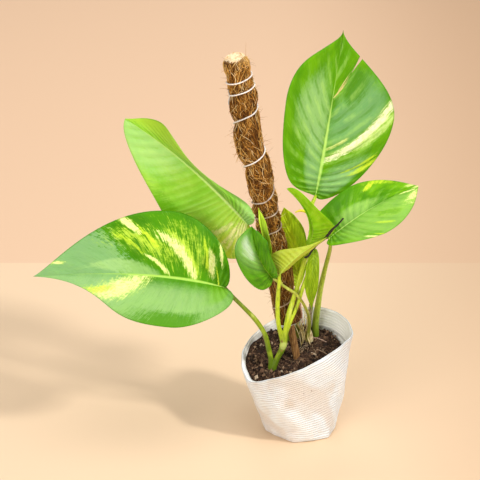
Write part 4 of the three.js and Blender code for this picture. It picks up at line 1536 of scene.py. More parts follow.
    def plate(self, sheet: Array, normal: Array, front: Array, back: Array, t: Array, v: Array) -> Skin:
        """Closes the two faces with a point at each end and a strip round the margin.

        Args:
            sheet: the blade's middle surface, rows of points.
            normal: its unit normals.
            front: height of the front over it.
            back: depth of the back under it.
            t: the rows' places.
            v: signed shares from the midrib to the margin.

        Returns:
            The blade's skin.
        """
        rows, columns = sheet.shape[:2]
        ends = bezier(np.array(self.middle, float), np.array([0.0, 1.0]))
        top = sheet + normal * front[..., None]
        under = sheet - normal * back[..., None]
        lift = np.array([normal[0, columns // 2], normal[-1, columns // 2]]) * BLADE / 2
        points = np.vstack([top.reshape(-1, 3), ends + lift, under.reshape(-1, 3), ends - lift])
        block = rows * columns
        start = block + 2
        base, tip = block, block + 1
        upper = grid_faces(rows, columns)
        last = (rows - 1) * columns
        upper += [[base, j + 1, j] for j in range(columns - 1)]
        upper += [[tip, last + j, last + j + 1] for j in range(columns - 1)]
        lower = [[i + start for i in face[::-1]] for face in upper]
        rim = [base, *range(columns - 1, block, columns), tip]
        rim += list(range(last, -1, -columns))
        strip = [[b, a, a + start, b + start] for a, b in zip(rim, rim[1:] + rim[:1])]
        uv = spots(t[:, None], 0.5 + 0.5 * v).reshape(-1, 2)
        uv = np.vstack([uv, [0, 0.5], [1, 0.5]])
        rib = 1 - np.clip(np.abs(v), 0, 1).reshape(-1)
        rib = np.r_[rib, 1, 1]
        return Skin(points, upper + lower + strip, np.vstack([uv, uv]), {"rib": np.r_[rib, rib]})

    def material(self) -> Material:
        """A waxy blade: green between fresh and deep, painted shade and sheen along its side veins, a pale
        midrib, a margin darkened with painted shade, and its own streaks.
        """
        look = self.finish
        board = Board(self.name)
        surface = board.surface()
        row, across, _ = board.parts(surface)
        side = (across - 0.5) * 2
        out = abs(side)
        seed = (sum(map(ord, self.name)) % 17) * 1.7
        here = board.vector("ADD", surface, (seed, seed, 0.0))
        feather = board.noise(here, (80, 6, 1), 5, 0.68)
        strands = board.noise(here, (260, 9, 1), 4, 0.66)
        mottle = board.noise(here, (60, 40, 1), 4, 0.68)
        cloud = board.noise(here, (9, 5, 1), 3, 0.5)
        patchy = board.noise(here, (14, 9, 1), 3, 0.6)
        colour = board.tint(look.fresh, look.deep, cloud.rise(0.33, 0.66))
        colour = board.tint(colour, look.deep, mottle.rise(0.55, 0.72) * look.fleck)
        drift = (patchy - 0.5) * 2.5 + side.rise(-0.01, 0.01, -0.8, 0.8)
        wave = (row * (self.veins * TURN) + drift).sin()
        grain = Grain(feather, strands, mottle)
        for streak in look.streaks:
            colour = streak.laid(board, colour, grain, row, side, out)
        near = 1 - out.rise(0.55, 1.0)
        # painted shade in the grooves along the side veins, painted sheen on the swells between them
        groove = wave.rise(-0.5, -1.0) * patchy.rise(0.35, 0.6) * near
        swell_sheen = wave.rise(0.1, 0.95) * patchy.rise(0.62, 0.4) * near
        rib = 1 - out.rise(look.rib_width * 0.4, look.rib_width * 1.5)
        colour = board.layered(
            colour,
            (look.deep, groove * look.veining),
            (look.rib, swell_sheen * look.veining * 0.55),
            (look.deep, strands.rise(0.48, 0.3) * look.fleck * 0.9),
            (look.rib, strands.rise(0.56, 0.74) * look.fleck * 0.6),
            (look.rib, rib * row.rise(0.97, 0.6, 0.35, 0.95)),
            # painted shade: a dark rim along the margin
            (look.deep, out.rise(0.97, 1.0) * 0.5),
        )
        speckle = board.noise(board.place(), 900, 3, 0.6)
        height = strands * 0.7 + speckle * 0.3 + wave * near * 0.8
        return board.finish(
            colour,
            look.gloss + (feather - 0.5) * 0.2,
            board.bump(height, 0.0003),
            Specular_IOR_Level=look.shine,
            Coat_Weight=look.coat,
            Coat_Roughness=0.16,
            Subsurface_Weight=0.12,
            Subsurface_Radius=(0.6, 1.0, 0.1),
            Subsurface_Scale=0.002,
        )


# Stems, sheaths and roots


@dataclass
class LeafyStem:
    """A stem with its petioles: tubes along routes, grown together.

    Attributes:
        name: the node that it replaces.
        routes: for each tube, rows of x, y, z and radius. Those that start below soil_top go on down.
        young: colour of its upper part.
        old: colour near the soil.
        marks: patches of another colour, each a middle and a reach in metres and a tone.
        depth: how far it goes on below the soil's surface.
        voxel: size of the cells in which the tubes grow together.
        soil_top: height of the soil at its highest.
    """

    name: str
    routes: tuple
    young: Colour
    old: Colour
    marks: tuple = ()
    voxel: float = 0.55
    depth: float = 22.0
    soil_top: float = 101.0

    def skin(self) -> Skin:
        """All tubes, with a slight groove along each as petioles have."""

        def channel(angle: Array, run: Array) -> Array:
            """A flat side, and a slow unevenness."""
            return 1 - 0.07 * np.cos(angle - 1.2) + 0.03 * np.sin(run / 7 + 2 * angle)

        made = None
        for stops in self.routes:
            rows = np.array(stops, float)
            if rows[0, 2] < self.soil_top:
                start = rows[0] - np.array([0, 0, self.depth, 0])
                rows = np.vstack([start, rows])
            path = Route(rows).even(1.6)
            one = tube(path[:, :3], path[:, 3], 16, relief=channel)
            made = one if made is None else made.joined(one)
        return made

    def build(self) -> bpy.types.Object:
        """Grows the tubes together by remeshing, and smooths the joins."""
        piece = self.skin().make(self.name + "_grown")
        grown = piece.modifiers.new("grow", "REMESH")
        grown.mode = "VOXEL"
        grown.voxel_size = self.voxel * MM
        even = piece.modifiers.new("even", "SMOOTH")
        even.factor, even.iterations = 0.5, 4
        return applied(piece)

    def material(self) -> Material:
        """Smooth green skin, yellower above and duller near the soil."""
        board = Board(self.name + "_skin")
        place = board.place()
        x, _, z = board.parts(place)
        streak = board.noise(place, (700, 700, 84), 3, 0.6)
        cloud = board.noise(place, 55, 3)
        shaded = (x + 0.036).least(0.0) * 1.9
        pale = board.noise(place, (160, 160, 48), 2).rise(0.55, 0.75)
        scuff = board.noise(place, (330, 330, 165), 3, 0.7).rise(0.66, 0.74)
        colour = board.layered(
            board.tint(self.old, self.young, (z + shaded).rise(0.092, 0.15)),
            (self.old, streak.rise(0.48, 0.68) * 0.6),
            (self.young, cloud.rise(0.5, 0.7) * 0.4),
            ((0.74, 0.8, 0.2), pale * z.rise(0.11, 0.16) * 0.5),
        )
        for middle, reach, tone in self.marks:
            near = board.vector("DISTANCE", place, middle, "Value")
            colour = board.tint(colour, tone, near.rise(reach * 1.3, reach * 0.7) * 0.85)
        colour = board.tint(colour, (0.22, 0.13, 0.03), scuff * 0.7)
        return board.finish(
            colour,
            0.36 + (cloud - 0.5) * 0.1,
            board.bump(streak, 0.0006),
            Specular_IOR_Level=0.35,
            Subsurface_Weight=0.15,
            Subsurface_Radius=(0.8, 1.0, 0.2),
            Subsurface_Scale=0.002,
        )


def applied(piece: bpy.types.Object) -> bpy.types.Object:
    """The piece with its modifiers applied to its mesh, faces smooth."""
    graph = bpy.context.evaluated_depsgraph_get()
    final = bpy.data.meshes.new_from_object(piece.evaluated_get(graph), depsgraph=graph)
    piece.modifiers.clear()
    old = piece.data
    piece.data = final
    bpy.data.meshes.remove(old)
    final.polygons.foreach_set("use_smooth", np.full(len(final.polygons), True))
    return piece


@dataclass
class Sheath:
    """A withered sheath: a flat crumpled strip along a route.

    Attributes:
        name: the node that it replaces, or its own name.
        route: rows of x, y, z and half width.
        flat: its thickness as a share of its width.
        knots: how uneven its width is.
        dark: its darkest colour.
        light: its lightest colour.
    """

    name: str
    route: tuple
    flat: float
    knots: float
    dark: Colour
    light: Colour
    seed: int = 3

    def skin(self) -> Skin:
        """The strip, its width and its thickness broken up by noise."""
        path = Route(np.array(self.route, float)).even(0.7)

        def crumple(angle: Array, run: Array) -> Array:
            """Uneven width along the strip, with ridges along it."""
            spot = spots(np.cos(angle) * 2, np.sin(angle) * 2, run / 2.2)
            return 1 + self.knots * rough(spot, 1.4, self.seed, 3) + 0.12 * np.cos(5 * angle)

        return tube(path[:, :3], path[:, 3], 14, self.flat, crumple)

    def material(self) -> Material:
        """Dry skin, streaked."""
        board = Board(self.name + "_skin")
        place = board.place()
        grain = board.noise(place, (900, 900, 225), 4, 0.7)
        colour = board.tint(self.dark, self.light, grain.rise(0.38, 0.66))
        return board.finish(colour, 0.75, board.bump(grain, 0.0006))


@dataclass
class FootLitter:
    """What withers and roots at the foot of the right-hand stems, over and on the mix."""

    mix_: PottingMix
    seed: int = 23

    def shreds(self, count: int = 22) -> Skin:
        """Papery shreds of old sheaths: flat upright strips that lean and curl, seeded."""
        rng = np.random.default_rng(self.seed)
        s = np.linspace(0, 1, 8)[None]
        x = rng.normal(2.0, 4.5, (count, 1))
        y = rng.uniform(18, 30, (count, 1))
        height = 12 + 34 * rng.random((count, 1)) ** 1.3
        lean = rng.normal(-0.04, 0.13, (count, 1)) * height
        back = rng.normal(-0.05, 0.15, (count, 1)) * height
        px = x + lean * s + 1.2 * np.sin(5 * s + x)
        py = y + back * s
        hung = rng.uniform(-2, 24, (count, 1)) * (height < 30)
        z = self.mix_.level(x, y) + hung + height * s
        radii = (1.0 + 1.8 * rng.random((count, 1))) * (1 - 0.8 * s**2)
        return tubes(spots(px, py, z), radii, 5, rng.random(count), 0.22)

    def hairs(self, count: int = 34) -> Skin:
        """Root hairs: thin pale tubes that arch from the stems' foot down to the mix, seeded."""
        rng = np.random.default_rng(self.seed + 1)
        s = np.linspace(0, 1, 8)[None]
        x = rng.uniform(-14, 16, (count, 1))
        y = rng.uniform(14, 34, (count, 1))
        turn = rng.normal(-1.7, 0.9, (count, 1)) + rng.normal(0, 0.7, (count, 1)) * s
        reach = 5 + 13 * rng.random((count, 1))
        px = x + np.cumsum(np.cos(turn), 1) * reach / 8
        py = y + np.cumsum(np.sin(turn), 1) * reach / 8
        arch = rng.uniform(0.5, 5, (count, 1)) * np.sin(np.pi * s) ** 0.8
        z = self.mix_.crumbled(px, py) + 0.2 + arch
        radii = 0.09 + 0.14 * rng.random((count, 1)) * (1 - 0.5 * s)
        return tubes(spots(px, py, z), radii, 4, rng.random(count))

    def paper(self, name: str, dark: Colour, light: Colour) -> Material:
        """Dry skin, each shred or hair between a dark and a light colour."""
        board = Board(name)
        grain = board.noise(board.place(), (800, 800, 200), 4, 0.7)
        colour = board.tint(dark, light, board.named("shade") * 0.7 + grain.rise(0.35, 0.65) * 0.3)
        return board.finish(colour, 0.75, board.bump(grain, 0.0004), Specular_IOR_Level=0.2)


# Studio


# Each lamp's name, place, aim, size, watts and colour, in metres.
LAMPS = (
    ("key", (3.0, -1.9, 2.9), (-0.05, 0, 0.2), 0.45, 115, (1.0, 0.985, 0.96)),
    ("fill", (-1.8, -3.2, 1.3), (-0.1, 0, 0.2), 2.2, 72, (1.0, 1.0, 1.0)),
    ("above", (0.3, -0.6, 2.8), (-0.1, 0, 0.2), 1.6, 22, (1.0, 1.0, 1.0)),
    ("behind", (-0.1, 1.7, 2.0), (-0.1, 1.2, 0), 1.2, 12, (1.0, 0.97, 0.94)),
)


@dataclass
class Studio:
    """Pale floor, darker behind a line far behind the object, soft lights and the camera."""

    floor_colour: Colour = (0.87, 0.645, 0.43)
    far_colour: Colour = (0.84, 0.575, 0.38)
    shaded_colour: Colour = (0.6, 0.39, 0.24)
    far_from: float = 471.0
    reach: float = 14000.0
    pitch: float = math.radians(23)
    distance: float = 2400.0
    target: Triple = (-70.8, 0.0, 233.6)
    lens: float = 162.0
    sensor: float = 36.0
    sees_to: float = 50.0
    sky: Colour = (1.0, 0.99, 0.98)
    sky_strength: float = 0.42

    def floor(self) -> bpy.types.Object:
        """One flat floor, so that the object is seen from every side."""
        edge = self.reach
        points = np.array([(-edge, -edge, 0), (edge, -edge, 0), (-edge, edge, 0), (edge, edge, 0)], float)
        return Skin(points, grid_faces(2, 2)).make("studio_floor")

    def paint(self) -> Material:
        """Plain pale paint in two tones, with painted shade darkening it towards the right."""
        board = Board("studio_paint")
        across, back, _ = board.parts(board.place())
        line, soft = self.far_from * MM, 0.001
        colour = board.tint(self.floor_colour, self.far_colour, back.rise(line - soft, line + soft))
        # painted shade: darker towards the right, where the light falls off
        colour = board.tint(colour, self.shaded_colour, across.rise(-0.05, 0.45) * 0.9)
        return board.finish(colour, 0.8, Specular_IOR_Level=0.2)

    def light(
        self, name: str, place: Triple, aim: Triple, size: float, watts: float, colour: Colour
    ) -> None:
        """Adds a square soft light that faces a point."""
        lamp = bpy.data.lights.new(name, "AREA")
        lamp.shape, lamp.size, lamp.energy, lamp.color = "SQUARE", size, watts, colour
        made = bpy.data.objects.new(name, lamp)
        made.location = place
        made.rotation_mode = "QUATERNION"
        made.rotation_quaternion = (Vector(aim) - Vector(place)).to_track_quat("-Z", "Y")
        bpy.context.scene.collection.objects.link(made)

    def build(self) -> None:
        """Makes the camera, then floor and lights."""
        scene = bpy.context.scene
        scene.view_settings.view_transform = "Standard"
        camera = bpy.data.cameras.new("camera")
        camera.lens, camera.sensor_width = self.lens, self.sensor
        camera.clip_end = self.sees_to
        eye = bpy.data.objects.new("camera", camera)
        ahead = np.array([0, math.cos(self.pitch), -math.sin(self.pitch)])
        eye.location = (np.array(self.target) - self.distance * ahead) * MM
        eye.rotation_euler = (math.pi / 2 - self.pitch, 0, 0)
        scene.collection.objects.link(eye)
        scene.camera = eye
        floor = self.floor()
        floor.data.materials.append(self.paint())
        for lamp in LAMPS:
            self.light(*lamp)
        world = bpy.data.worlds.new("studio")
        world.use_nodes = True
        sky = world.node_tree.nodes["Background"].inputs
        sky["Color"].default_value = (*self.sky, 1)
        sky["Strength"].default_value = self.sky_strength
        scene.world = world


# This plant

DEEP = (0.05, 0.215, 0.001)
GREEN = (0.095, 0.33, 0.002)
FRESH = (0.175, 0.45, 0.004)
BRIGHT = (0.52, 0.8, 0.05)
CREAM = (0.88, 0.94, 0.35)
IVORY = (1.0, 1.0, 0.42)
FLECK = (0.56, 0.76, 0.07)
YELLOW = (0.66, 0.84, 0.045)
# Painted sheen: a pale grey-green that stands for the reflection on glossy blades
PAINTED_SHEEN = (0.4, 0.64, 0.22)
PALE_RIB = (0.46, 0.74, 0.12)
STRAW = (0.5, 0.58, 0.07)
on_right, on_left, on_both = (partial(Streak, half) for half in (Half.RIGHT, Half.LEFT, Half.BOTH))

# The large left leaf: deep green above with cream streaks, painted sheen below and towards the tip.
LEFT_FINISH = BladeFinish(
    DEEP,
    (0.08, 0.295, 0.002),
    PALE_RIB,
    gloss=0.36,
    coat=0.04,
    streaks=(
        # painted sheen: the next four streaks
        on_right(0.885, 0.165, -0.2, 1.3, 0.72, (0.27, 0.49, 0.21), -0.05, 0.85, 0.12),
        on_right(0.72, 0.07, -0.3, 0.42, 0.6, PAINTED_SHEEN, 0.25, 0.9, 0.3),
        on_left(0.55, 0.42, 0.16, 1.1, 0.62, PAINTED_SHEEN, soft=1.0, blur=0.6),
        on_left(0.9, 0.18, -0.2, 1.3, 0.66, (0.29, 0.51, 0.2), soft=1.0, blur=0.3),
        on_left(0.2, 0.13, 0.05, 0.6, 0.6, FRESH, soft=1.0, blur=0.6),
        on_left(0.49, 0.13, 0.66, 1.2, 0.95, (0.08, 0.28, 0.002), 0.0, 0.7, 0.5),
        on_right(0.42, 0.2, 0.0, 1.0, 0.7, FLECK, 0.14, sparse=1.1),
        on_right(0.62, 0.09, 0.1, 0.95, 0.8, FLECK, 0.14, sparse=0.8),
        on_right(0.255, 0.016, 0.56, 1.0, 1.0, CREAM, 0.1),
        on_right(0.318, 0.026, 0.14, 0.56, 1.0, CREAM, 0.05),
        on_right(0.24, 0.008, 0.03, 0.36, 0.9, YELLOW, 0.22),
        on_right(0.365, 0.012, 0.2, 0.7, 0.75, YELLOW, 0.05, sparse=0.2),
        on_right(0.48, 0.032, 0.02, 0.66, 1.0, FLECK, 0.18, sparse=0.3),
        on_right(0.505, 0.024, 0.02, 0.62, 1.0, CREAM, 0.2),
        on_right(0.625, 0.01, 0.05, 0.34, 0.9, CREAM, 0.2),
        on_right(0.61, 0.014, 0.4, 0.8, 0.85, YELLOW, 0.06, sparse=0.3),
        on_right(0.632, 0.01, 0.68, 1.06, 1.0, CREAM, 0.02),
        on_right(0.672, 0.008, 0.35, 0.8, 0.5, YELLOW, 0.05, sparse=0.3),
        on_right(0.88, 0.009, 0.78, 1.1, 0.8, CREAM, 0.05),
        on_left(0.762, 0.046, 0.02, 0.95, 1.0, CREAM, 0.1, 0.2, 0.6),
        on_left(0.815, 0.026, 0.45, 1.0, 0.6, YELLOW, 0.1, sparse=0.2),
    ),
    veining=0.12,
    fleck=0.35,
)

# The upper left leaf: light and matt, its lower lobe striped with cream, painted sheen towards its tip.
UPPER_LEFT_FINISH = BladeFinish(
    (0.25, 0.6, 0.03),
    (0.38, 0.71, 0.065),
    (0.6, 0.86, 0.24),
    gloss=0.5,
    coat=0.03,
    streaks=(
        on_right(0.72, 0.18, 0.4, 1.2, 0.75, BRIGHT, soft=0.7, blur=0.6),
        on_right(0.86, 0.1, 0.0, 0.6, 0.5, (0.34, 0.66, 0.02), soft=0.8, blur=0.6),
        on_right(0.16, 0.16, 0.0, 1.1, 0.45, (0.46, 0.74, 0.3), soft=1.0, blur=0.5),
        # painted sheen towards the tip of the left half
        on_left(0.9, 0.14, -0.1, 1.1, 0.6, (0.42, 0.72, 0.26), soft=1.0, blur=0.5),
        on_left(0.52, 0.14, 0.7, 1.1, 0.9, (0.12, 0.38, 0.002), 0.0, 0.7, 0.6),
        on_left(0.45, 0.12, 0.3, 0.9, 0.2, FRESH, soft=0.8, blur=0.6),
        on_left(0.24, 0.2, -0.1, 1.0, 0.6, (0.62, 0.92, 0.1), soft=0.8, blur=0.5),
        on_left(0.22, 0.16, 0.05, 1.0, 1.0, (0.8, 1.0, 0.16), 0.1, sparse=0.3),
        on_left(0.115, 0.024, 0.05, 0.95, 0.9, IVORY, 0.03),
        on_left(0.17, 0.024, 0.05, 0.8, 1.0, IVORY, 0.06),
        on_left(0.225, 0.026, 0.08, 0.8, 1.0, IVORY, 0.1),
        on_left(0.285, 0.022, 0.12, 0.75, 0.95, IVORY, 0.14),
        on_left(0.35, 0.018, 0.18, 0.66, 0.9, CREAM, 0.16),
        on_left(0.32, 0.012, 0.4, 0.8, 0.8, YELLOW, 0.1),
        on_left(0.25, 0.01, 0.45, 1.0, 0.8, YELLOW, 0.1),
    ),
    fleck=0.3,
    rib_width=0.022,
    veining=0.3,
)

# The tall leaf: one broad cream band to the margin, a wide pale midrib, painted sheen beside it and on its
# right half.
TOP_RIGHT_FINISH = BladeFinish(
    (0.075, 0.265, 0.002),
    (0.14, 0.38, 0.003),
    (0.52, 0.8, 0.18),
    gloss=0.38,
    coat=0.05,
    streaks=(
        # painted sheen: the next four streaks
        on_right(0.66, 0.12, 0.02, 0.95, 0.62, (0.21, 0.44, 0.2), soft=1.0, blur=0.5),
        on_right(0.3, 0.12, 0.05, 0.7, 0.45, (0.42, 0.68, 0.36), soft=0.8, blur=0.6),
        on_left(0.66, 0.14, 0.04, 0.75, 0.5, (0.44, 0.7, 0.3), soft=0.75, blur=0.6),
        on_left(0.4, 0.16, 0.0, 0.36, 0.45, (0.4, 0.66, 0.34), soft=1.0, blur=0.9),
        on_right(0.76, 0.045, 0.35, 0.9, 0.8, (0.07, 0.25, 0.004), 0.0, 0.7, 0.5),
        on_right(0.9, 0.06, 0.0, 1.1, 0.6, (0.09, 0.3, 0.002), soft=0.9, blur=0.5),
        on_left(0.86, 0.06, 0.0, 0.7, 0.5, GREEN, soft=0.9, blur=0.5),
        on_right(0.54, 0.024, -0.02, 1.1, 1.0, (0.94, 0.97, 0.6), 0.07, 0.25),
        on_right(0.512, 0.02, 0.45, 1.05, 0.75, (0.66, 0.86, 0.3), 0.03, 0.2, 0.5),
        on_right(0.58, 0.008, 0.02, 0.3, 0.7, CREAM, 0.03),
        on_right(0.35, 0.018, 0.55, 0.98, 0.75, YELLOW, 0.05),
        on_right(0.385, 0.008, 0.35, 0.85, 0.6, YELLOW, 0.05),
        on_right(0.81, 0.004, 0.12, 1.1, 0.9, (0.8, 0.6, 0.25), 0.0, 0.6, 0.2),
    ),
    fleck=0.35,
    rib_width=0.024,
    veining=0.5,
)

# The right leaf: deep green above, light green below with painted sheen, a yellow spot and a cream tip.
RIGHT_FINISH = BladeFinish(
    (0.07, 0.26, 0.002),
    FRESH,
    (0.5, 0.76, 0.18),
    gloss=0.36,
    coat=0.05,
    streaks=(
        # painted sheen: the next two streaks
        on_right(0.62, 0.32, -0.02, 1.1, 0.62, (0.34, 0.6, 0.11), soft=1.0, blur=0.6),
        on_left(0.6, 0.16, 0.0, 0.4, 0.55, (0.4, 0.66, 0.17), soft=0.9, blur=0.6),
        on_left(0.5, 0.12, 0.45, 1.1, 0.8, (0.075, 0.27, 0.002), soft=0.8, blur=0.6),
        on_right(0.45, 0.05, 0.6, 1.0, 0.6, GREEN, soft=0.5),
        on_right(0.7, 0.03, 0.35, 0.8, 0.5, GREEN, 0.05, 0.3),
        on_left(0.655, 0.016, 0.7, 0.92, 1.0, YELLOW, 0.02),
        on_left(0.7, 0.1, 0.86, 1.1, 0.7, YELLOW, sparse=0.5),
        on_left(0.915, 0.03, 0.7, 1.1, 0.75, CREAM, sparse=0.4),
        on_both(0.985, 0.016, -0.2, 1.2, 0.95, CREAM),
        on_right(0.93, 0.014, 0.1, 0.75, 0.95, CREAM, 0.05),
        on_right(0.86, 0.09, 0.7, 1.1, 0.9, CREAM, 0.05, sparse=0.5),
        on_right(0.6, 0.01, 0.5, 0.85, 0.5, YELLOW, 0.05),
        on_right(0.415, 0.016, 0.74, 1.1, 0.9, CREAM, 0.03),
        on_right(0.475, 0.01, 0.8, 1.1, 0.6, YELLOW, 0.03),
    ),
    fleck=0.3,
    rib_width=0.016,
)

# The small front leaf: deep glossy green, with a painted highlight on its left half.
GLOSSY_FINISH = BladeFinish(
    (0.05, 0.2, 0.001),
    GREEN,
    (0.3, 0.52, 0.04),
    gloss=0.22,
    coat=0.3,
    streaks=(
        # painted highlight: the next three streaks
        on_left(0.7, 0.15, 0.1, 1.0, 0.5, (0.34, 0.58, 0.18), soft=1.0, blur=0.9),
        on_left(0.74, 0.06, 0.3, 0.85, 0.5, (0.8, 0.92, 0.78), 0.08, 0.8, 0.9),
        on_left(0.66, 0.02, 0.35, 0.75, 0.35, (0.7, 0.86, 0.6), -0.1, 0.8, 0.9),
        on_left(0.2, 0.1, 0.45, 1.0, 0.35, FRESH, soft=1.0),
    ),
    fleck=0.2,
    rib_width=0.02,
)


def plain_finish(deep: Colour, fresh: Colour, gloss: float = 0.42) -> BladeFinish:
    """A small blade of one kind of green."""
    return BladeFinish(deep, fresh, (0.52, 0.74, 0.1), gloss=gloss, coat=0.05, fleck=0.35)

# The leaf behind: olive, blotched, its right margin dark.
MOTTLED_FINISH = BladeFinish(
    (0.46, 0.68, 0.01),
    (0.68, 0.92, 0.025),
    (0.74, 0.92, 0.06),
    gloss=0.45,
    coat=0.02,
    streaks=(
        on_right(0.5, 0.3, 0.3, 0.9, 0.5, FRESH),
        on_left(0.35, 0.12, 0.2, 0.9, 0.6, (0.46, 0.6, 0.1), 0.1),
        on_left(0.62, 0.05, 0.3, 0.9, 0.5, (0.13, 0.17, 0.01), 0.1),
        on_both(0.45, 0.06, 0.0, 0.3, 0.5, (0.13, 0.16, 0.01), 0.2),
        on_right(0.45, 0.4, 0.86, 1.1, 0.7, (0.06, 0.13, 0.004)),
    ),
    fleck=0.5,
)


# The ten blades
LEAVES = (
    Leaf(
        "leaf_left", ((-87, -30, 189), (-169, -39, 217), (-296, -60, 216)), (-40, -32),
        HalfBlade(73, 68, 12, 0.15, 0.3, 0.47, 0.15, 0.12, (18, 12), (10, 5)),
        HalfBlade(60, 64, 32, 0.12, 0.24, 0.58, 0.6, 0.2, (18, 12), (10, 5)),
        LEFT_FINISH,
    ),
    Leaf(
        "leaf_upper_left", ((-62, 14, 246), (-124, 22, 318), (-197, 30, 366)), (-5, -5),
        HalfBlade(28, 116, 9, 0.3, 0, 0.52, 0.14, 0.19, (-10, -168, 20), (37, 5)),
        HalfBlade(62, 71, 50, 0.43, -0.3, 0.05, 0.03, 0.49, (-1, -1), (8, 8)),
        UPPER_LEFT_FINISH, "pale_leaf", veins=24, rib_front=0.5, rib_back=0.4,
    ),
    Leaf(
        "leaf_top_right", ((13, 18, 279), (23, 21, 337), (41, 28, 468)), (-20, -12),
        HalfBlade(72, 97, 17, 0.14, 0.4, 0.43, 0.2, 0.02, (18, 12), (10, 10), Tear(0.81, 0.008, 0.88)),
        HalfBlade(57, 110, -13, 0.49, 0.02, 0.74, 0.25, 0, (18, 12), (10, 10)),
        TOP_RIGHT_FINISH, quilt=0.34,
    ),
    Leaf(
        "leaf_right", ((28, -10, 240), (75, -3, 280), (127, 16, 292)), (36, 36),
        HalfBlade(36, 56, 25, 0.15, 0.7, 0.71, 0.09, 0.16, (22, 18), (15, 10)),
        HalfBlade(33, 45, 37, 0.39, -0.2, 0.43, 0.15, 0.14, (22, 18), (15, 10)),
        RIGHT_FINISH,
    ),
    Leaf(
        "leaf_front_glossy", ((-34, -30, 200), (-54, -46, 228), (-58, -38, 266)), (-11, -11),
        HalfBlade(18, 52, 2, 0.3, 0.1, 0.55, 0.17, 0.13, (52, 50), (10, 10)),
        HalfBlade(25, 46, 4, 0.35, -0.3, 0.69, 0.07, 0.17, (20, 20), (25, 25)),
        GLOSSY_FINISH, quilt=0.08, rows=110, columns=24,
    ),
    Leaf(
        "leaf_folded_pale", ((-27, -36, 208), (-11, -50, 238), (24, -36, 252)), (11, 11),
        HalfBlade(8, 12, 0, 0.3, 0.1, 0.7, 0.1, 0.55, (-62, -50), (-10, -10)),
        HalfBlade(21, 10, 0, 0.25, 0.4, 0.27, 0.6, 0, (-15, -15), (-10, -10)),
        plain_finish((0.42, 0.52, 0.03), STRAW, 0.5), "pale_leaf",
        quilt=0.06, ruffle=0.2, rib_front=0.4, rib_back=0.2, rows=100, columns=20,
    ),
    Leaf(
        "leaf_small_folded", ((5, -22, 237), (19, -28, 270), (-20, -28, 306)), (0, 0),
        HalfBlade(27, 26, 9, 0.15, 0.88, 0.03, 0.03, 0.7, (-50, 100, 25), (0, 0)),
        HalfBlade(9, 12, 0, 0.3, 0.1, 0.1, 0.6, 0.15, (50, 80), (0, 0)),
        plain_finish((0.22, 0.52, 0.004), (0.34, 0.66, 0.02)), "pale_leaf",
        quilt=0.06, ruffle=0.0, rib_back=0.4, rows=110, columns=22,
    ),
    Leaf(
        "leaf_mottled", ((-5, 16, 169), (-7, 25, 212), (-22, 14, 267)), (0, 0),
        HalfBlade(16, 61, 1, 0.25, 0.5, 0.54, 0.08, 0.16, (10, 10), (10, 10)),
        HalfBlade(14, 60, 1, 0.3, 0.1, 0.6, 0.08, 0.17, (10, 10), (10, 10)),
        MOTTLED_FINISH, "pale_leaf", quilt=0.1, rows=100, columns=20,
    ),
    Leaf(
        "leaf_hanging", ((11, -22, 233), (7, -37, 201), (9, -24, 158)), (0, 0),
        HalfBlade(8, 37, 0, 0.3, 0.15, 0.47, 0.3, 0.1, (20, 20), (10, 10)),
        HalfBlade(8, 33, 0, 0.3, 0, 0.45, 0.3, 0.1, (20, 20), (10, 10)),
        plain_finish((0.17, 0.29, 0.003), (0.28, 0.43, 0.008)), "pale_leaf",
        quilt=0.05, ruffle=0.15, rib_back=0.4, rows=80, columns=16,
    ),
    Leaf(
        "leaf_rolled_young", ((-37, -25, 217), (-41, -33, 247.5), (-51, -31, 285)), (0, 0),
        HalfBlade(8, 50, 0, 0.3, 0.3, 0.45, 0.3, 0.1, (40, 40), (-30, -30)),
        HalfBlade(5, 50, 0, 0.3, 0.3, 0.45, 0.3, 0.1, (40, 40), (-30, -30)),
        plain_finish((0.46, 0.7, 0.03), (0.66, 0.88, 0.09)), "pale_leaf",
        quilt=0.04, ruffle=0.1, rib_back=0.3, rows=80, columns=16,
    ),
)


YOUNG_STEM = (0.54, 0.68, 0.03)
OLD_STEM = (0.12, 0.2, 0.008)


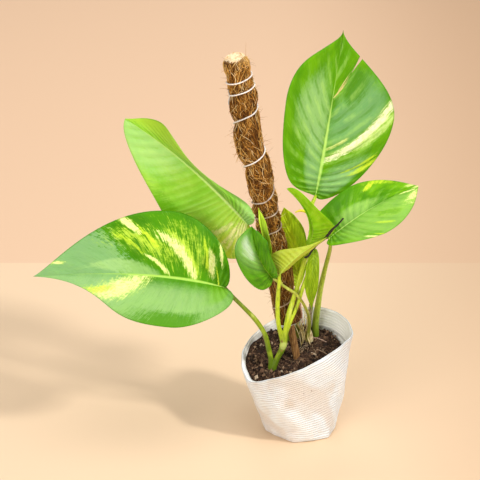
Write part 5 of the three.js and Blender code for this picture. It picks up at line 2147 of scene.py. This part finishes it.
# The stems and petioles
STEMS = (
    LeafyStem(
        "vine_front",
        (
            ((-33, -14, 80, 3.4), (-28, -15, 96, 3.3), (-23.5, -17.6, 107, 3.4), (-22, -18.5, 113.5, 4.3),
             (-21, -19, 119, 3.6), (-20, -20, 130, 3), (-17, -21, 149, 2.9), (-12, -20, 168, 2.8),
             (-6, -17, 188, 2.6), (-1, -15, 209, 2.5), (4, -15, 224, 2.6), (8, -16, 235, 3.2)),
            ((-21, -19, 121, 2.2), (-15, -19, 141, 2.3), (-7, -17, 161, 2.3), (-1, -14, 181, 2.3),
             (5, -12, 200, 2.2), (9, -13, 218, 2.2), (9, -15, 233, 2.2)),
            ((-36, -13, 80, 3.1), (-36, -14, 95, 3), (-38, -15, 105, 2.9), (-43, -19, 127, 2.8),
             (-53, -23, 146, 2.7), (-67, -27, 164, 2.5), (-79, -29, 178, 2.2), (-87, -30, 189, 1.6)),
            ((-23, -18, 118, 2.8), (-25, -19, 127, 2.6), (-28, -25, 144, 2.6), (-29, -29, 166, 2.5),
             (-28.5, -32, 184, 2.3), (-27.5, -35, 199, 2), (-27, -36, 208, 1.4)),
            ((8, -16, 233, 2.4), (10, -12, 249, 2.2), (9, -5, 263, 2.2), (9, 4, 274, 2.2),
             (12, 13, 278, 2), (13, 18, 279, 1.6)),
            ((8, -16, 232, 2.4), (6.5, -19, 235, 1.8), (5, -22, 237, 1.3)),
            ((8, -16, 232, 2.4), (10, -19.5, 232.8, 1.8), (11, -22, 233, 1.2)),
            ((9, -6, 262, 1.9), (6, -8, 268, 1.9), (0, -10, 272.5, 1.8), (-5, -10, 273, 1.5),
             (-10, -10, 271, 0.8)),
        ),
        YOUNG_STEM, OLD_STEM,
        (
            ((-0.006, -0.01, 0.272), 0.013, (0.8, 0.66, 0.03)),
            ((-0.0215, -0.022, 0.1135), 0.005, (0.56, 0.64, 0.16)),
            ((-0.0245, -0.0222, 0.119), 0.0018, (0.24, 0.14, 0.04)),
            ((-0.024, -0.0215, 0.1072), 0.0014, (0.34, 0.24, 0.06)),
            ((0.008, -0.016, 0.234), 0.006, (0.6, 0.62, 0.1)),
        ),
    ),
    LeafyStem(
        "petiole_right",
        (
            ((16, 38, 98, 4.4), (16, 36, 116, 4.1), (18, 30, 139, 3.6), (21, 23, 167, 3.1),
             (25, 13, 194, 2.7), (28, 4, 213, 2.4), (29.5, -5, 229, 2.1), (28, -10, 240, 1.6)),
        ),
        (0.48, 0.62, 0.06), OLD_STEM,
    ),
    LeafyStem(
        "petiole_glossy",
        (
            ((6, 28, 92, 2), (8, 22, 115, 2), (7, 7, 136, 1.9), (3, -13, 156, 1.8),
             (-2, -23, 169.5, 1.7), (-9, -26.5, 180, 1.7), (-18, -26.5, 186.5, 1.7),
             (-26, -26, 192, 1.7), (-31, -28, 197, 1.6), (-34, -30, 200, 1.3)),
            ((-24, -26, 190, 1.6), (-29, -25.5, 201, 1.6), (-34, -25, 211, 1.4), (-37, -25, 216.8, 1)),
        ),
        (0.42, 0.46, 0.05), (0.26, 0.28, 0.03),
    ),
    LeafyStem(
        "stem_mottled",
        (
            ((-4, 36, 96, 2.8), (-5, 32, 120, 2.6), (-5, 24, 143, 2.4), (-5, 18, 158, 2),
             (-5, 16, 169, 1.5)),
        ),
        (0.32, 0.44, 0.04), (0.2, 0.22, 0.02),
    ),
    LeafyStem(
        "petiole_upper_left",
        (
            ((-14, 30, 93, 2.8), (-16, 29, 124, 2.7), (-22, 26, 148, 2.6), (-31, 22, 174, 2.5),
             (-43, 18, 201, 2.3), (-54, 15, 225, 2), (-62, 14, 246, 1.4)),
        ),
        (0.42, 0.54, 0.03), OLD_STEM,
    ),
)


DRY_DARK = (0.42, 0.27, 0.13)
DRY_LIGHT = (0.86, 0.78, 0.58)
PINK_DARK = (0.5, 0.24, 0.16)
PINK_LIGHT = (0.88, 0.66, 0.52)
BLACK = (0.006, 0.005, 0.003)
BLACK_LIGHT = (0.035, 0.03, 0.012)


# The withered sheaths and the thicker roots. The first two stand for nodes of the model
SHEATHS = (
    Sheath(
        "sheath_black",
        ((2.4, -18.8, 222, 0.8), (1, -25, 223, 1), (4, -31, 227, 1.3), (8, -30.5, 233.3, 1.3),
         (13.5, -27.5, 239.3, 1.2), (18, -27.5, 243, 1.2), (22.3, -30.5, 248.3, 1.5),
         (25.3, -36.5, 255.1, 1.7), (28, -43.5, 262.2, 1.6), (31.2, -47, 267.8, 1.2),
         (35.5, -47.5, 272.2, 1.1), (41, -46.5, 278.8, 0.9)),
        0.6, 0.35, BLACK, BLACK_LIGHT,
    ),
    Sheath(
        "sheath_dry_tall",
        ((15, 28, 170, 1), (12, 30.5, 157, 1.8), (10.5, 33, 141, 2.2), (8.6, 35, 120, 2.4),
         (8.6, 36, 100, 2)),
        0.3, 0.25, DRY_DARK, DRY_LIGHT,
    ),
    Sheath(
        "sheath_dry_low",
        ((9, 27, 92, 3.4), (9.5, 27, 98, 4.2), (9, 26.5, 104, 3.2), (7.5, 26.5, 112, 2.2),
         (6.5, 27, 121, 1.2), (6, 27, 127, 0.5)),
        0.45, 0.35, DRY_DARK, (0.82, 0.76, 0.42), 8,
    ),
    Sheath(
        "sheath_pink",
        ((-4.5, 23, 154, 0.6), (-3, 20.8, 146, 1.3), (-1.8, 20.6, 136, 1.7), (-0.4, 21.5, 128, 1.2),
         (0.5, 22.5, 121, 0.5)),
        0.35, 0.4, PINK_DARK, PINK_LIGHT, 5,
    ),
    Sheath(
        "root_aerial",
        ((-20, -18, 136, 0.6), (-16.2, -14, 134.5, 0.75), (-10, -4, 132.5, 0.7), (-4, 7, 130.8, 0.65),
         (2, 18, 129, 0.5), (5, 24, 128.5, 0.3)),
        0.9, 0.2, (0.62, 0.52, 0.36), (0.9, 0.86, 0.72), 6,
    ),
    Sheath(
        "root_brown",
        ((8, 30, 94, 1.0), (11, 28.5, 99.5, 0.8), (17, 27, 100, 0.7), (23, 24.5, 98.8, 0.7),
         (28, 21.5, 97.6, 0.5)),
        0.9, 0.25, (0.22, 0.12, 0.08), (0.56, 0.38, 0.28), 7,
    ),
    Sheath(
        "root_low",
        ((14, 10, 87, 0.9), (17, 9.5, 93.6, 0.7), (22, 6.5, 93.3, 0.6), (27, 3, 92, 0.6),
         (31, -1, 90, 0.4)),
        0.9, 0.25, (0.16, 0.09, 0.05), (0.42, 0.28, 0.17), 9,
    ),
    Sheath(
        "sheath_thread",
        ((9.5, -7.2, 262, 0.5), (9.2, -8.5, 268, 0.6), (9.6, -8.8, 274, 0.5), (10, -8.2, 279, 0.3)),
        0.6, 0.3, BLACK, BLACK_LIGHT, 4,
    ),
)


def dressed(piece: bpy.types.Object, material: Material, slot: str, *nodes: str) -> bpy.types.Object:
    """Gives a piece its material and its body, and hides the nodes that it stands for.

    Args:
        piece: the object.
        material: its finish.
        slot: the record's material slot; not used.
        *nodes: CAD nodes that it replaces.

    Returns:
        The object.
    """
    piece.data.materials.clear()
    piece.data.materials.append(material)
    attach(piece, "root")
    if nodes:
        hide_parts(*nodes)
    log.info("%s: %d faces", piece.name, len(piece.data.polygons))
    return piece


def main() -> None:
    """Builds the studio, the bag with its soil, the pole and the plant."""
    logging.basicConfig(level=logging.INFO, format="%(message)s")
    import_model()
    Studio().build()

    bag = GrowBag()
    cloth = dressed(bag.skin().make("grow_bag_cloth"), bag.cloth(), "woven_bag", "grow_bag")
    mix_ = PottingMix(bag)
    dressed(mix_.skin().make("potting_mix"), mix_.earth(), "soil", "soil")
    dressed(mix_.crumbs().make("crumbs", smooth=False), mix_.crumb_earth(), "soil")
    pole = CoirPole()
    litter = FootLitter(mix_)
    strand = litter.paper("soil_fibre", (0.05, 0.026, 0.013), (0.4, 0.26, 0.14))
    dressed(mix_.fibres().make("soil_fibres"), strand, "soil")
    dressed(pole.stick().make("stick"), pole.bark(), "bare_wood", "pole_stick")
    dressed(pole.sleeve().make("coir_sleeve"), pole.packed(), "coir", "coir_wrap")
    mat = pole.fibre_mat(3400, 5, 0.25, 0.5)
    dressed(mat.make("coir_fibres"), pole.fibre("coir_fibre", 1.0), "coir")
    straw = litter.paper("coir_top_fibre", (1.0, 0.66, 0.34), (1.0, 0.92, 0.68))
    dressed(pole.thatch().make("coir_top"), straw, "coir")
    dressed(pole.strays().make("coir_strays"), pole.fibre("coir_stray", 0.9), "coir")
    twine = pole.string().joined(pole.knot())
    dressed(twine.make("tied_string"), pole.twine(), "string", "pole_string")

    for leaf in LEAVES:
        piece = leaf.skin().make(leaf.name + "_blade")
        dressed(piece, leaf.material(), leaf.slot, leaf.name)
    for stem in STEMS:
        dressed(stem.build(), stem.material(), "stem", stem.name)
    for number, sheath in enumerate(SHEATHS):
        slot = "black_sheath" if sheath.dark == BLACK else "dry_sheath"
        piece = sheath.skin().make(sheath.name + "_strip")
        dressed(piece, sheath.material(), slot, *([sheath.name] if number < 2 else []))
    paper = litter.paper("papery_shreds", (0.58, 0.4, 0.12), (1.0, 0.9, 0.5))
    dressed(litter.shreds().make("dry_shreds"), paper, "dry_sheath")
    hair = litter.paper("root_hair", (0.24, 0.13, 0.06), (0.8, 0.62, 0.4))
    dressed(litter.hairs().make("root_hairs"), hair, "dry_sheath")


if __name__ == "__main__":
    main()
